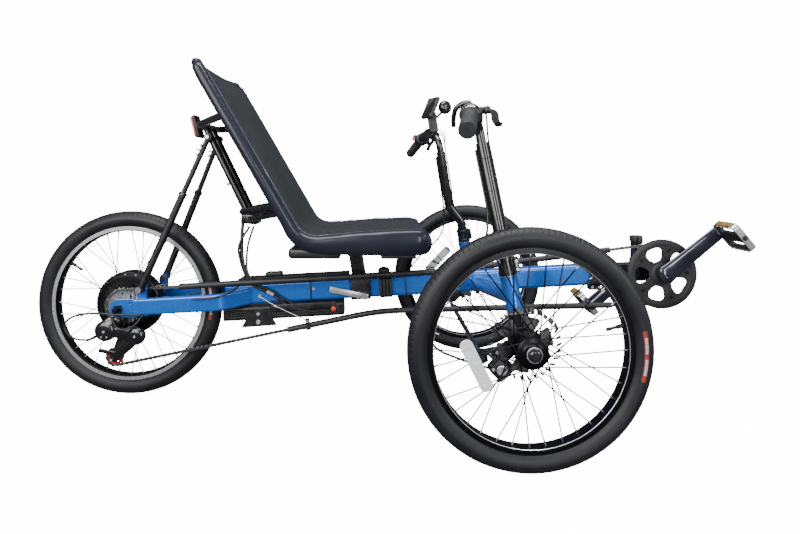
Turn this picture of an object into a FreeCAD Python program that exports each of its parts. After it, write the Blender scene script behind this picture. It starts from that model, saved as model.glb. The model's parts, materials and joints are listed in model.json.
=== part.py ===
"""Recumbent tadpole trike: two steered wheels in front, one driven wheel behind.

The model is worked out from the centre of the rear axle, +X forward, +Y to the rider's left,
+Z up, in millimetres.  Every sub-part is then stood on the ground, with the origin under the
middle of the whole trike.
"""
import FreeCAD
import Part
import math
import os
import Sketcher
from FreeCAD import Placement, Rotation, Vector

# alias, value in millimetres or degrees, what it measures
SIZES = (
    ("wheel_radius", "253.5", "outside radius of all three tyres"),
    ("tyre_width", "46", "width of the tyre's round section"),
    ("bead_radius", "211", "radius of the rim's bead seat"),
    ("rim_width", "28", "outside width of the rims"),
    ("rim_wall", "2", "thickness of the rim's side walls"),
    ("rim_depth", "12", "depth of the rim below the bead seat"),
    ("spoke_radius", "1.1", "radius of a spoke"),
    ("wheelbase", "998", "rear axle to front axles"),
    ("track", "762", "between the middles of the front tyres"),
    ("bundle_radius", "5", "radius of the cable bundle"),
    ("rest_gap", "0.3", "gap between a cable and what it rests on"),
    ("running_gap", "0.05", "radial clearance of a turning fit"),
    ("touch_gap", "0.3", "gap left between pieces that only lie together"),
    ("beam_rise", "8.5", "height of the beam's centre line over the rear axle"),
    ("beam_slope", "3.46", "upward slope of the beam in degrees"),
    ("beam_start", "268", "rear end of the main beam"),
    ("beam_end", "1304", "front end of the main beam"),
    ("beam_height", "57", "height of the main beam's section"),
    ("beam_width", "40", "width of the main beam's section"),
    ("beam_corner", "9", "corner radius of the main beam"),
    ("beam_wall", "2.5", "wall of the main beam"),
    ("dropout_gap", "135", "between the inner faces of the dropouts"),
    ("dropout_plate", "6", "thickness of a dropout plate"),
    ("stay_height", "44", "height of a rear stay's section"),
    ("stay_width", "20", "width of a rear stay's section"),
    ("stay_corner", "6", "corner radius of a rear stay"),
    ("stay_tail", "44", "rear end of a rear stay"),
    ("stay_bend_at", "268", "where a stay turns in towards the beam"),
    ("stay_joint_at", "338", "where a stay meets the beam"),
    ("strut_foot_ahead", "62", "strut bolt ahead of the rear axle"),
    ("strut_foot_up", "54", "strut bolt above the rear axle"),
    ("strut_head_ahead", "241", "top of a strut ahead of the rear axle"),
    ("strut_head_up", "456", "top of a strut above the rear axle"),
    ("strut_radius", "9.5", "outer tube of a seat strut"),
    ("strut_rod_radius", "7", "sliding rod of a seat strut"),
    ("strut_share", "0.62", "share of the strut's length taken by its outer tube"),
    ("axle_radius", "6", "radius of the rear axle"),
    ("axle_overhang", "24", "rear axle beyond the dropouts"),
    ("motor_radius", "88", "radius of the hub motor's shell"),
    ("motor_half", "22", "half width of the hub motor's rim"),
    ("sprocket_pitch", "4.8", "between neighbouring sprockets"),
    ("sprocket_first", "29", "largest sprocket right of the middle"),
    ("sprocket_wide", "2", "thickness of a sprocket"),
    ("chain_sprocket", "4", "sprocket that carries the chain, the largest being 0"),
    ("spoke_count", "36", "spokes in a wheel"),
    ("chain_pitch", "12.7", "length of a chain link"),
    ("chain_height", "8.4", "height of the chain's plates"),
    ("chain_width", "6.6", "width of the chain"),
    ("chain_line", "48.2", "chain right of the middle"),
    ("ring_teeth", "40", "teeth of the chainring"),
    ("bottom_bracket_ahead", "1445", "crank axle ahead of the rear axle"),
    ("shell_radius", "21", "bottom bracket shell"),
    ("shell_half", "34", "half width of the bottom bracket shell"),
    ("crank_axle_radius", "9", "radius of the crank axle"),
    ("crank_length", "180", "crank axle to pedal axle"),
    ("crank_angle", "39.5", "right crank above the level, in degrees"),
    ("crank_inside", "66", "inner face of a crank from the middle"),
    ("crank_thick", "14", "thickness of a crank arm"),
    ("guard_radius", "93", "outside radius of the chainguard"),
    ("pedal_long", "80", "length of a pedal, front to back"),
    ("pedal_dip", "50", "dip of a pedal's front end, in degrees"),
    ("pedal_wide", "84", "width of a pedal"),
    ("pedal_thick", "24", "thickness of a pedal"),
    ("boom_overlap", "90", "boom inside the main beam"),
    ("post_ahead", "1402", "accessory post ahead of the rear axle"),
    ("post_radius", "14.3", "radius of the accessory post"),
    ("post_length", "70", "length of the accessory post above the boom"),
    ("post_free", "62", "length of the accessory post above its collar"),
    ("kingpin_inset", "64.5", "kingpin inside the wheel's middle at axle height"),
    ("caster", "10.2", "backward lean of the kingpin in degrees"),
    ("kingpin_lean", "7.7", "inward lean of the kingpin in degrees"),
    ("kingpin_radius", "12.7", "radius of the kingpin"),
    ("head_low", "62", "bottom of the head tube above axle height"),
    ("head_length", "78", "length of the head tube"),
    ("head_radius", "18.5", "outside radius of the head tube"),
    ("arm_radius", "19", "radius of a cross tube"),
    ("arm_root_ahead", "950", "where the cross tubes leave the beam"),
    ("stub_radius", "7.5", "radius of a front stub axle"),
    ("knuckle_face", "42", "knuckle's outer face inside the wheel's middle"),
    ("hub_half", "33", "half width of a front hub"),
    ("disc_radius", "80", "radius of a brake disc"),
    ("disc_thick", "1.8", "thickness of a brake disc"),
    ("disc_inside", "36", "brake disc inside the wheel's middle"),
    ("caliper_angle", "45", "caliper's turn below the level line behind the axle"),
    ("rod_arm", "86", "steering arm's length behind the kingpin"),
    ("rod_drop", "27", "tie rod below axle height"),
    ("rod_radius", "6", "radius of the tie rod"),
    ("stud_radius", "4", "radius of a tie rod stud"),
    ("open_eye_gap", "2.6", "clearance round the left stud"),
    ("stud_tilt", "1.95", "forward tilt of the tie rod's studs from the kingpins in degrees"),
    ("rod_end_out", "1.5", "rod end outboard of the kingpin's foot"),
    ("left_post_back", "32", "left handlebar's post behind the kingpin's line"),
    ("cable_radius", "2.6", "radius of a brake cable"),
    ("clip_radius", "116", "spoke reflector's middle from the wheel's middle"),
    ("grip_back", "0.211", "how far a grip runs back for each millimetre outward"),
    ("grip_fall", "0.311", "how far a grip falls for each millimetre outward"),
    ("grip_radius", "16.5", "radius of a handlebar grip"),
    ("grip_length", "128", "length of a handlebar grip"),
    ("bar_radius", "11.1", "radius of a handlebar"),
    ("steerer_radius", "14.3", "radius of a handlebar post"),
    ("post_top", "486", "top of a handlebar post above axle height"),
    ("seat_half", "190", "seat rails from the middle"),
    ("seat_rail_radius", "11", "radius of a seat rail"),
    ("seat_front_ahead", "789", "front end of the seat rails"),
    ("seat_pan_up", "193", "seat rails above axle height"),
    ("seat_crook_ahead", "493", "corner of the seat rails"),
    ("seat_top_ahead", "246", "top end of the seat rails"),
    ("seat_top_up", "618", "top end of the seat rails above axle height"),
    ("seat_bend", "62", "bend radius of the seat rails"),
    ("seat_pad", "34", "thickness of the seat's cover"),
    ("pan_pad", "45", "thickness of the seat's cover at the pan"),
    ("seat_edge", "16", "cover beyond the seat rails"),
    ("hoop_radius", "9.5", "radius of the tubes behind the seat"),
    ("centre_tube_half", "27", "centre tubes from the middle"),
    ("pulley_radius", "22.5", "pitch radius of a derailleur pulley"),
    ("guide_ahead", "10", "upper pulley ahead of the rear axle"),
    ("guide_drop", "80", "upper pulley below the rear axle"),
    ("tension_ahead", "-20", "lower pulley ahead of the rear axle"),
    ("tension_drop", "136", "lower pulley below the rear axle"),
    ("upper_bend_ahead", "793", "bend of the upper chain run"),
    ("upper_bend_up", "96", "bend of the upper chain run above axle height"),
    ("lower_bend_ahead", "774", "bend of the lower chain run"),
    ("lower_bend_drop", "6", "bend of the lower chain run below axle height"),
    ("chain_bend", "700", "bend radius of the chain tubes"),
    ("tube_radius", "8", "outside radius of a chain tube"),
    ("tube_bore", "6.3", "bore of a chain tube"),
    ("upper_tube_tail", "152", "rear end of the upper chain tube"),
    ("upper_tube_nose", "1307", "front end of the upper chain tube"),
    ("lower_tube_tail", "443", "rear end of the lower chain tube"),
    ("lower_tube_nose", "1314", "front end of the lower chain tube"),
    ("controller_tail", "264", "rear end of the controller box"),
    ("controller_nose", "592", "front end of the controller box"),
    ("controller_height", "38", "height of the controller box"),
    ("controller_width", "62", "width of the controller box"),
    ("case_tail", "272", "rear end of the case on the beam"),
    ("case_nose", "606", "front end of the case on the beam"),
    ("case_height", "15", "height of the case on the beam"),
    ("seat_post_ahead", "638", "foot of the seat post"),
    ("seat_post_back", "19", "backward lean of the seat post over its height"),
    ("seat_post_long", "38", "seat post's section along the trike"),
    ("seat_post_wide", "30", "seat post's section across the trike"),
    ("cross_bar_drop", "28.5", "pan's cross bar below the seat rails"),
    ("hoop_up", "502", "upper hoop's ends above axle height"),
    ("hoop_back_ahead", "214", "middle of the upper hoop"),
    ("hoop_back_up", "486", "middle of the upper hoop above axle height"),
    ("bow_up", "278", "lower bow's ends above axle height"),
    ("bow_back_ahead", "326", "middle of the lower bow"),
    ("bow_back_up", "258", "middle of the lower bow above axle height"),
)

# ring, teeth: the cassette from the largest sprocket outwards
SPROCKETS = (32, 28, 26, 24, 22, 18, 14)

SIDES = (("right", -1), ("left", 1))

doc = FreeCAD.newDocument("recumbent_trike")
sheet = doc.addObject("Spreadsheet::Sheet", "Sizes")
for row, (alias, value, meaning) in enumerate(SIZES, start=1):
    sheet.set("A%d" % row, meaning)
    sheet.set("B%d" % row, value)
    sheet.setAlias("B%d" % row, alias)
doc.recompute()

finished = []


def size(alias):
    """One driving size, as the sheet holds it."""
    return float(sheet.get(alias))


def unit(vector):
    """The vector's direction."""
    return Vector(vector).normalize()


def beam_height_at(ahead):
    """Height of the beam's centre line over the axles."""
    return size("beam_rise") + math.tan(math.radians(size("beam_slope"))) * ahead


def bottom_bracket():
    """Centre of the crank axle, on the beam's centre line."""
    ahead = size("bottom_bracket_ahead")
    return Vector(ahead, 0, beam_height_at(ahead))


def crank_end(side):
    """Where a pedal axle leaves its crank; the right crank points up and forward."""
    angle = math.radians(size("crank_angle"))
    reach = Vector(math.cos(angle), 0, math.sin(angle)) * (-side * size("crank_length"))
    return bottom_bracket() + reach


def origin_ahead():
    """The middle of the trike's length, between the rear tyre and the front pedal."""
    front = crank_end(-1).x + size("pedal_long") / 2
    return (front - size("wheel_radius")) / 2


def stand(place):
    """A place over the rear axle, moved to the frame that stands on the ground."""
    lift = Placement(Vector(-origin_ahead(), 0, size("wheel_radius")), Rotation())
    return lift.multiply(place)


def kingpin(side):
    """A kingpin's point at axle height and its upward direction."""
    foot = Vector(size("wheelbase"), side * (size("track") / 2 - size("kingpin_inset")), 0)
    back = math.tan(math.radians(size("caster")))
    inward = math.tan(math.radians(size("kingpin_lean")))
    return foot, unit(Vector(-back, -side * inward, 1))


def on_kingpin(side, along):
    """A point of the kingpin's axis."""
    foot, direction = kingpin(side)
    return foot + direction * along


def keep(label, shape, place=None):
    """Add a sub-part whose shape is already worked out."""
    thing = doc.addObject("Part::Feature", label)
    thing.Label = label
    thing.Shape = shape
    thing.Placement = stand((place or Placement()).multiply(shape.Placement))
    finished.append(thing)
    return thing


def keep_body(body, place):
    """Stand a finished body in its place."""
    body.Placement = stand(place)
    finished.append(body)
    return body


def rod(start, end, radius):
    """A round bar between two points."""
    run = end - start
    return Part.makeCylinder(radius, run.Length, start, run)


def pipe(start, end, radius, bore):
    """A round tube between two points."""
    return rod(start, end, radius).cut(rod(start, end, bore))


def rounded_path(points, bends):
    """A wire of straight runs joined by tangent arcs, one bend radius a corner."""
    edges = []
    last = points[0]
    for corner, before, after, bend in zip(points[1:-1], points, points[2:], bends):
        way_in, way_out = unit(corner - before), unit(after - corner)
        turn = way_in.getAngle(way_out)
        cut_back = bend * math.tan(turn / 2)
        start, end = corner - way_in * cut_back, corner + way_out * cut_back
        inside = unit(way_out - way_in)
        middle = corner + inside * (bend / math.cos(turn / 2) - bend)
        edges.append(Part.LineSegment(last, start).toShape())
        edges.append(Part.Arc(start, middle, end).toShape())
        last = end
    edges.append(Part.LineSegment(last, points[-1]).toShape())
    return Part.Wire(edges)


def swept(profile, path):
    """A solid that carries a closed profile along a path."""
    return path.makePipeShell([profile], True, False)


def bent_rod(points, bends, radius):
    """A round bar bent along its points."""
    path = rounded_path(points, bends)
    circle = Part.Wire(Part.makeCircle(radius, points[0], points[1] - points[0]))
    return swept(circle, path)


def rounded_rectangle(middle, across, upward, width, height, corner):
    """A closed wire with round corners, in the plane of two directions."""
    across, upward = unit(across), unit(upward)
    edges = []
    turns = ((1, 1), (-1, 1), (-1, -1), (1, -1))
    for sign_a, sign_u in turns:
        inner = middle + across * (sign_a * (width / 2 - corner)) + upward * (sign_u * (height / 2 - corner))
        side_point = inner + across * (sign_a * corner)
        top_point = inner + upward * (sign_u * corner)
        middle_point = inner + (across * sign_a + upward * sign_u) * (corner * math.sqrt(0.5))
        first, last = (side_point, top_point) if sign_a * sign_u > 0 else (top_point, side_point)
        edges.append((first, middle_point, last))
    wires = []
    for (first, via, last), (next_first, _, _) in zip(edges, edges[1:] + edges[:1]):
        wires.append(Part.Arc(first, via, last).toShape())
        wires.append(Part.LineSegment(last, next_first).toShape())
    return Part.Wire(wires)


def rounded_bar(start, end, across, width, height, corner):
    """A straight bar of rounded rectangular section between two points."""
    run = end - start
    upward = run.cross(across)
    face = Part.Face(rounded_rectangle(start, across, upward, width, height, corner))
    return face.extrude(run)


def block(low, high):
    """A box from its lowest to its highest corner."""
    return Part.makeBox(high.x - low.x, high.y - low.y, high.z - low.z, low)


def fused(shapes):
    """One solid from touching shapes, with the needless seams taken out."""
    return shapes[0].multiFuse(shapes[1:]).removeSplitter()


def turned(label, plane_outline):
    """A body turned about its own Y axis; each corner is (radius, along) in sheet terms."""
    body = doc.addObject("PartDesign::Body", label)
    body.Label = label
    outline = bound_sketch(body, label + "_outline", "XY_Plane", plane_outline)
    turn = body.newObject("PartDesign::Revolution", label + "_turned")
    turn.Profile = outline
    turn.ReferenceAxis = (origin_feature(body, "Y_Axis"), [""])
    turn.Angle = 360
    doc.recompute()
    return body


def origin_feature(body, role):
    """One of a body's own origin planes or axes."""
    return [feature for feature in body.Origin.OriginFeatures if feature.Role == role][0]


def bound_sketch(body, name, role, corners):
    """A closed outline whose corners are dimensioned from the origin by the sheet's sizes."""
    sketch = body.newObject("Sketcher::SketchObject", name)
    sketch.AttachmentSupport = [(origin_feature(body, role), "")]
    sketch.MapMode = "FlatFace"
    spots = [tuple(float(sketch.evalExpression(term)) for term in corner) for corner in corners]
    count = len(spots)
    for spot, following in zip(spots, spots[1:] + spots[:1]):
        sketch.addGeometry(Part.LineSegment(Vector(*spot, 0), Vector(*following, 0)), False)
    for index in range(count):
        sketch.addConstraint(Sketcher.Constraint("Coincident", index, 2, (index + 1) % count, 1))
    for index, (spot, corner) in enumerate(zip(spots, corners)):
        for kind, distance, term in zip(("DistanceX", "DistanceY"), spot, corner):
            number = sketch.addConstraint(Sketcher.Constraint(kind, -1, 1, index, 1, distance))
            sketch.setExpression("Constraints[%d]" % number, term)
    return sketch


def both(make_shape):
    """The right and left pieces of a pair, which don't touch, in one shape."""
    return Part.makeCompound([make_shape(side) for _, side in SIDES])


# ---------------------------------------------------------------- wheels

def front_hub_place(side):
    """A front wheel's own +Y points away from the trike."""
    turn = Rotation(Vector(0, 0, 1), 0 if side > 0 else 180)
    return Placement(Vector(size("wheelbase"), side * size("track") / 2, 0), turn)


def tyre_shape():
    """A round tyre section, open towards the rim, turned about Y."""
    round_radius = size("tyre_width") / 2
    middle = size("wheel_radius") - round_radius
    half = size("rim_width") / 2 - size("rim_wall")
    side_radius = middle - math.sqrt(round_radius ** 2 - half ** 2)
    bead = size("bead_radius")
    outline = Part.Wire([
        Part.Arc(Vector(side_radius, -half, 0), Vector(size("wheel_radius"), 0, 0),
                 Vector(side_radius, half, 0)).toShape(),
        Part.LineSegment(Vector(side_radius, half, 0), Vector(bead, half, 0)).toShape(),
        Part.LineSegment(Vector(bead, half, 0), Vector(bead, -half, 0)).toShape(),
        Part.LineSegment(Vector(bead, -half, 0), Vector(side_radius, -half, 0)).toShape(),
    ])
    return Part.Face(outline).revolve(Vector(), Vector(0, 1, 0), 360)


RIM_OUTLINE = (
    ("Sizes.bead_radius + 3", "-Sizes.rim_width / 2"),
    ("Sizes.bead_radius - Sizes.rim_depth * 0.65", "-Sizes.rim_width / 2"),
    ("Sizes.bead_radius - Sizes.rim_depth", "-Sizes.rim_width / 4"),
    ("Sizes.bead_radius - Sizes.rim_depth", "Sizes.rim_width / 4"),
    ("Sizes.bead_radius - Sizes.rim_depth * 0.65", "Sizes.rim_width / 2"),
    ("Sizes.bead_radius + 3", "Sizes.rim_width / 2"),
    ("Sizes.bead_radius + 3", "Sizes.rim_width / 2 - Sizes.rim_wall"),
    ("Sizes.bead_radius", "Sizes.rim_width / 2 - Sizes.rim_wall"),
    ("Sizes.bead_radius", "Sizes.rim_wall - Sizes.rim_width / 2"),
    ("Sizes.bead_radius + 3", "Sizes.rim_wall - Sizes.rim_width / 2"),
)


def spokes(flange_radius, flange_y, lean):
    """Laced spokes from two flanges to the rim, alternately leading and trailing."""
    rim_inside = size("bead_radius") - size("rim_depth")
    radius = size("spoke_radius")
    pieces = []
    count = int(size("spoke_count"))
    for index in range(count):
        side = 1 if index % 2 else -1
        trailing = 1 if (index // 2) % 2 else -1
        at_rim = math.radians(360 / count * index)
        at_flange = at_rim + math.radians(lean) * trailing
        near = Vector(flange_radius * math.cos(at_flange), side * (flange_y + trailing * radius * 1.3),
                      flange_radius * math.sin(at_flange))
        far = Vector((rim_inside - 0.2) * math.cos(at_rim), side * 2, (rim_inside - 0.2) * math.sin(at_rim))
        pieces.append(rod(near, far, radius))
    return pieces


def turned_shape(outline):
    """A solid turned about Y from (radius, along) corners."""
    corners = [Vector(radius, along, 0) for radius, along in outline]
    return Part.Face(Part.makePolygon(corners + corners[:1])).revolve(Vector(), Vector(0, 1, 0), 360)


def front_hub_shape():
    """Hub shell with two flanges, bored for the stub axle, with its spokes."""
    half = size("hub_half")
    bore = size("stub_radius") + size("running_gap")
    seat = size("disc_inside") - size("disc_thick")
    shell = turned_shape((
        (bore, -seat), (22, -seat), (22, -24), (33, -23), (33, -19.5), (25, -17), (25, 17),
        (33, 19.5), (33, 23), (27, 27), (18, 29), (17.5, half), (bore, half)))
    return fused([shell] + spokes(30, 21.3, 48))


def disc_shape():
    """Vented brake disc: braking ring, six arms and a centre that is bolted to the hub."""
    outer = size("disc_radius")
    thick = size("disc_thick")
    inside = -size("disc_inside")
    def ring(radius, bore):
        solid = Part.makeCylinder(radius, thick, Vector(0, inside, 0), Vector(0, 1, 0))
        return solid.cut(Part.makeCylinder(bore, thick, Vector(0, inside, 0), Vector(0, 1, 0)))
    pieces = [ring(outer, outer - 16), ring(24, size("stub_radius") + 3)]
    for index in range(6):
        angle = math.radians(60 * index)
        arm = block(Vector(20, inside, -4), Vector(outer - 12, inside + thick, 4))
        arm.rotate(Vector(), Vector(0, 1, 0), math.degrees(angle))
        pieces.append(arm)
    return fused(pieces)


def spoke_reflector_shape(turn):
    """Reflector clipped across the spokes' outer side, turned to its place on the wheel."""
    middle = size("clip_radius")
    plate = block(Vector(middle - 14, 11, -58), Vector(middle + 14, 19, 58))
    plate = plate.makeFillet(3, plate.Edges)
    plate.rotate(Vector(middle, 0, 0), Vector(0, 1, 0), 13)
    plate.rotate(Vector(), Vector(0, 1, 0), turn)
    return plate.cut(fused(spokes(30, 21.3, 48)))


def build_front_wheels(rim):
    """Both front wheels, on their stub axles."""
    for name, side in SIDES:
        place = front_hub_place(side)
        keep(name + "_front_tyre", tyre_shape().cut(rim), place)
        keep(name + "_front_wheel", fused([rim, front_hub_shape()]), place)
        keep(name + "_brake_disc", disc_shape(), place)
        keep(name + "_reflector", spoke_reflector_shape(14 if side < 0 else -150), place)


def sprocket_radius(teeth):
    """Pitch radius of a sprocket."""
    return size("chain_pitch") / (2 * math.sin(math.pi / teeth))


def cassette_shape():
    """Seven sprockets on one carrier, turned about Y, the largest inboard."""
    bore = 17
    thick = size("sprocket_wide")
    trim = size("chain_height") / 2 + size("touch_gap")
    pieces = []
    for index, teeth in enumerate(SPROCKETS):
        middle = -(size("sprocket_first") + index * size("sprocket_pitch"))
        radius = sprocket_radius(teeth) - trim
        pieces.append(pipe(Vector(0, middle - thick / 2, 0), Vector(0, middle + thick / 2, 0), radius, bore))
    last = -(size("sprocket_first") + (len(SPROCKETS) - 1) * size("sprocket_pitch"))
    first = -size("sprocket_first")
    pieces.append(pipe(Vector(0, last - thick / 2, 0), Vector(0, first + thick / 2, 0), 22, bore))
    return fused(pieces)


def motor_shape():
    """Hub motor shell with its spokes, bored for the axle, carrying the cassette's seat."""
    bore = size("axle_radius") + size("running_gap")
    radius = size("motor_radius")
    half = size("motor_half")
    carrier_end = size("dropout_gap") / 2 - 5
    shell = turned_shape((
        (bore, -carrier_end), (17, -carrier_end), (17, -(half + 4)), (radius - 14, -half),
        (radius - 6, -half + 2), (radius, -half + 6), (radius, half - 6), (radius - 6, half - 2),
        (radius - 14, half), (44, half + 12), (24, half + 16), (20, carrier_end), (bore, carrier_end)))
    return fused([shell] + spokes(radius - 3, half - 9, 13))


def build_rear_wheel(rim):
    """The driven wheel with its hub motor and cassette."""
    keep("rear_tyre", tyre_shape().cut(rim))
    keep("rear_wheel", fused([rim, motor_shape()]))
    keep("sprockets", cassette_shape())


# ---------------------------------------------------------------- frame

def build_main_beam():
    """Rectangular main tube with rounded corners, hollow from end to end."""
    body = doc.addObject("PartDesign::Body", "main_beam")
    body.Label = "main_beam"
    half_w, half_h = "Sizes.beam_width / 2", "Sizes.beam_height / 2"
    outline = bound_sketch(body, "beam_outline", "YZ_Plane", (
        ("-" + half_w, "-" + half_h), (half_w, "-" + half_h), (half_w, half_h), ("-" + half_w, half_h)))
    pad = body.newObject("PartDesign::Pad", "beam_length")
    pad.Profile = outline
    pad.setExpression("Length", "(Sizes.beam_end - Sizes.beam_start) / cos(Sizes.beam_slope * 1 deg)")
    doc.recompute()
    long_edges = ["Edge%d" % (number + 1) for number, edge in enumerate(pad.Shape.Edges)
                  if abs(edge.tangentAt(edge.FirstParameter).x) > 0.99]
    corners = body.newObject("PartDesign::Fillet", "beam_corners")
    corners.Base = (pad, long_edges)
    corners.setExpression("Radius", "Sizes.beam_corner")
    inner_w, inner_h = half_w + " - Sizes.beam_wall", half_h + " - Sizes.beam_wall"
    cut_w, cut_h = inner_w + " - Sizes.beam_corner * 0.5", inner_h + " - Sizes.beam_corner * 0.5"
    hollow = bound_sketch(body, "beam_hollow", "YZ_Plane", (
        ("-(%s)" % cut_w, "-(%s)" % inner_h), (cut_w, "-(%s)" % inner_h),
        (inner_w, "-(%s)" % cut_h), (inner_w, cut_h), (cut_w, inner_h), ("-(%s)" % cut_w, inner_h),
        ("-(%s)" % inner_w, cut_h), ("-(%s)" % inner_w, "-(%s)" % cut_h)))
    pocket = body.newObject("PartDesign::Pocket", "beam_bore")
    pocket.Profile = hollow
    pocket.Type = "ThroughAll"
    pocket.Reversed = True
    doc.recompute()
    tilt = Rotation(Vector(0, 1, 0), -size("beam_slope"))
    start = size("beam_start")
    return keep_body(body, Placement(Vector(start, 0, beam_height_at(start)), tilt))


def beam_envelope():
    """The beam's outside, to trim what is welded against it."""
    start, end = size("beam_start"), size("beam_end")
    return rounded_bar(Vector(start, 0, beam_height_at(start)), Vector(end, 0, beam_height_at(end)),
                       Vector(0, 1, 0), size("beam_width"), size("beam_height"), size("beam_corner"))


def stay_height_at(ahead):
    """A stay's centre line: its lower edge runs on from the beam's."""
    return beam_height_at(ahead) - (size("beam_height") - size("stay_height")) / 2


def dropout_shape(side):
    """Plate with a round tail about the axle and an upright ear for the seat strut's bolt."""
    inner = side * size("dropout_gap") / 2
    thick = side * size("dropout_plate")
    tail = 24
    front = size("stay_tail") + 34
    low, high = -18, 26
    ear = 12
    ear_x, ear_z = size("strut_foot_ahead"), size("strut_foot_up")
    round_tail = Part.Face(Part.Wire(Part.makeCircle(tail, Vector(0, inner, 0), Vector(0, 1, 0))))
    def sheet_of(corners):
        points = [Vector(x, inner, z) for x, z in corners]
        return Part.Face(Part.makePolygon(points + points[:1]))
    body = sheet_of(((0, -tail), (front, low), (front, high), (0, tail)))
    upright = sheet_of(((ear_x - ear, 10), (ear_x + ear, 10), (ear_x + ear, ear_z), (ear_x - ear, ear_z)))
    crown = Part.Face(Part.Wire(Part.makeCircle(ear, Vector(ear_x, inner, ear_z), Vector(0, 1, 0))))
    solid = fused([face.extrude(Vector(0, thick, 0)) for face in (round_tail, body, upright, crown)])
    for x, z, radius in ((0, 0, size("axle_radius")), (ear_x, ear_z, 4), (30, 14, 2.5)):
        solid = solid.cut(rod(Vector(x, inner - side, z), Vector(x, inner + thick + side, z), radius))
    return solid


def stay_shape(side):
    """Rear stay: straight beside the wheel, then turned in to the beam's side."""
    tail, bend, joint = size("stay_tail"), size("stay_bend_at"), size("stay_joint_at")
    out = side * (size("dropout_gap") + size("dropout_plate")) / 2
    near = side * size("beam_width") / 4
    points = [Vector(tail, out, stay_height_at(tail)), Vector(bend, out, stay_height_at(bend)),
              Vector(joint, near, stay_height_at(joint))]
    path = rounded_path(points, (40,))
    run = points[1] - points[0]
    across = Vector(0, 1, 0)
    profile = rounded_rectangle(points[0], across, run.cross(across), size("stay_width"),
                                size("stay_height"), size("stay_corner"))
    return swept(profile, path).cut(beam_envelope())


def build_frame():
    """Beam, stays, dropouts, rear axle and the cross tubes with their head tubes."""
    build_main_beam()
    keep("rear_stays", both(lambda side: fused([stay_shape(side), dropout_shape(side)])))
    keep("cross_tubes", both(cross_tube_shape))
    keep("rear_axle", rear_axle_shape())


def cross_tube_shape(side):
    """Cross tube butted to the beam, with the head tube that carries the kingpin."""
    low, length = size("head_low"), size("head_length")
    bottom, top = on_kingpin(side, low), on_kingpin(side, low + length)
    root_x = size("arm_root_ahead")
    root = Vector(root_x, 0, beam_height_at(root_x) - 4)
    tip = on_kingpin(side, low + length * 0.42)
    arm = rod(root, tip, size("arm_radius")).cut(beam_envelope())
    head = rod(bottom, top, size("head_radius"))
    arm = max(arm.Solids, key=lambda solid: solid.Volume)
    joined = fused([arm, head])
    bore = size("kingpin_radius") + size("running_gap")
    return joined.cut(rod(on_kingpin(side, low - 1), on_kingpin(side, low + length + 1), bore))


def rear_axle_shape():
    """Axle with its two spacers inside the dropouts and its two nuts outside."""
    radius = size("axle_radius")
    inner = size("dropout_gap") / 2
    outer = inner + size("dropout_plate")
    end = outer + size("axle_overhang")
    pieces = [rod(Vector(0, -end, 0), Vector(0, end, 0), radius)]
    for side in (-1, 1):
        pieces.append(rod(Vector(0, side * (inner - 4.7), 0), Vector(0, side * inner, 0), radius + 4))
        pieces.append(hexagon(Vector(0, side * outer, 0), Vector(0, side, 0), radius + 4, 10))
    return fused(pieces)


def hexagon(start, direction, half_flats, height):
    """A plain nut or bolt head."""
    direction = unit(direction)
    side = direction.cross(Vector(0, 0, 1)) if abs(direction.z) < 0.9 else Vector(1, 0, 0)
    side = unit(side)
    other = direction.cross(side)
    reach = half_flats / math.cos(math.radians(30))
    turns = [math.radians(60 * index) for index in range(6)]
    corners = [start + (side * math.cos(turn) + other * math.sin(turn)) * reach for turn in turns]
    return Part.Face(Part.makePolygon(corners + corners[:1])).extrude(direction * height)


# ---------------------------------------------------------------- steering

def wheel_y(side, outward):
    """Distance from the middle plane, measured outwards from a front wheel's middle."""
    return side * (size("track") / 2 + outward)


def rod_end(side):
    """Where the tie rod's stud meets the steering arm."""
    foot = kingpin(side)[0]
    return foot + Vector(-size("rod_arm"), side * size("rod_end_out"), -size("rod_drop"))


def stud_direction(side):
    """Axis of a tie rod's stud, tilted so that the open end strays least as the wheels steer."""
    return unit(kingpin(side)[1] + Vector(math.tan(math.radians(size("stud_tilt"))), 0, 0))


def knuckle_shape(side):
    """Kingpin, axle boss and steering arm, forged as one."""
    direction = stud_direction(side)
    low, length = size("head_low"), size("head_length")
    pin = rod(on_kingpin(side, low - 10), on_kingpin(side, low + length + 28), size("kingpin_radius"))
    end = rod_end(side)
    tip = rod(end - direction * 4.5, end + direction * 4.5, 11)
    stud = rod(end - direction * 24, end + direction * 8, size("stud_radius"))
    return fused([knuckle_core(side), pin, tip, stud, stub_axle_shape(side)])


def knuckle_core(side):
    """The knuckle's barrel along the kingpin, its boss round the axle and its steering arm."""
    arm = rounded_bar(kingpin(side)[0] + Vector(0, 0, -10), rod_end(side), Vector(0, 1, 0), 20, 9, 2)
    barrel = rod(on_kingpin(side, -16), on_kingpin(side, size("head_low") - size("touch_gap")), 18)
    ahead = size("wheelbase")
    inner, face = wheel_y(side, -84), wheel_y(side, -size("knuckle_face"))
    return fused([barrel, rod(Vector(ahead, inner, 0), Vector(ahead, face, 0), 17), arm])


def stub_axle_shape(side):
    """Stub axle out of the knuckle, with a collar and an end cap that hold the hub."""
    ahead = size("wheelbase")
    radius = size("stub_radius")
    inner, face = wheel_y(side, -70), wheel_y(side, -size("knuckle_face"))
    hub_in = wheel_y(side, -size("disc_inside") - size("touch_gap"))
    hub_out = wheel_y(side, size("hub_half") + size("touch_gap"))
    def along(start, end, thick):
        return rod(Vector(ahead, start, 0), Vector(ahead, end, 0), thick)
    return fused([along(inner, hub_out + side * 9, radius), along(face, hub_in, radius + 3),
                  along(hub_out, hub_out + side * 6, radius + 6)])


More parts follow.
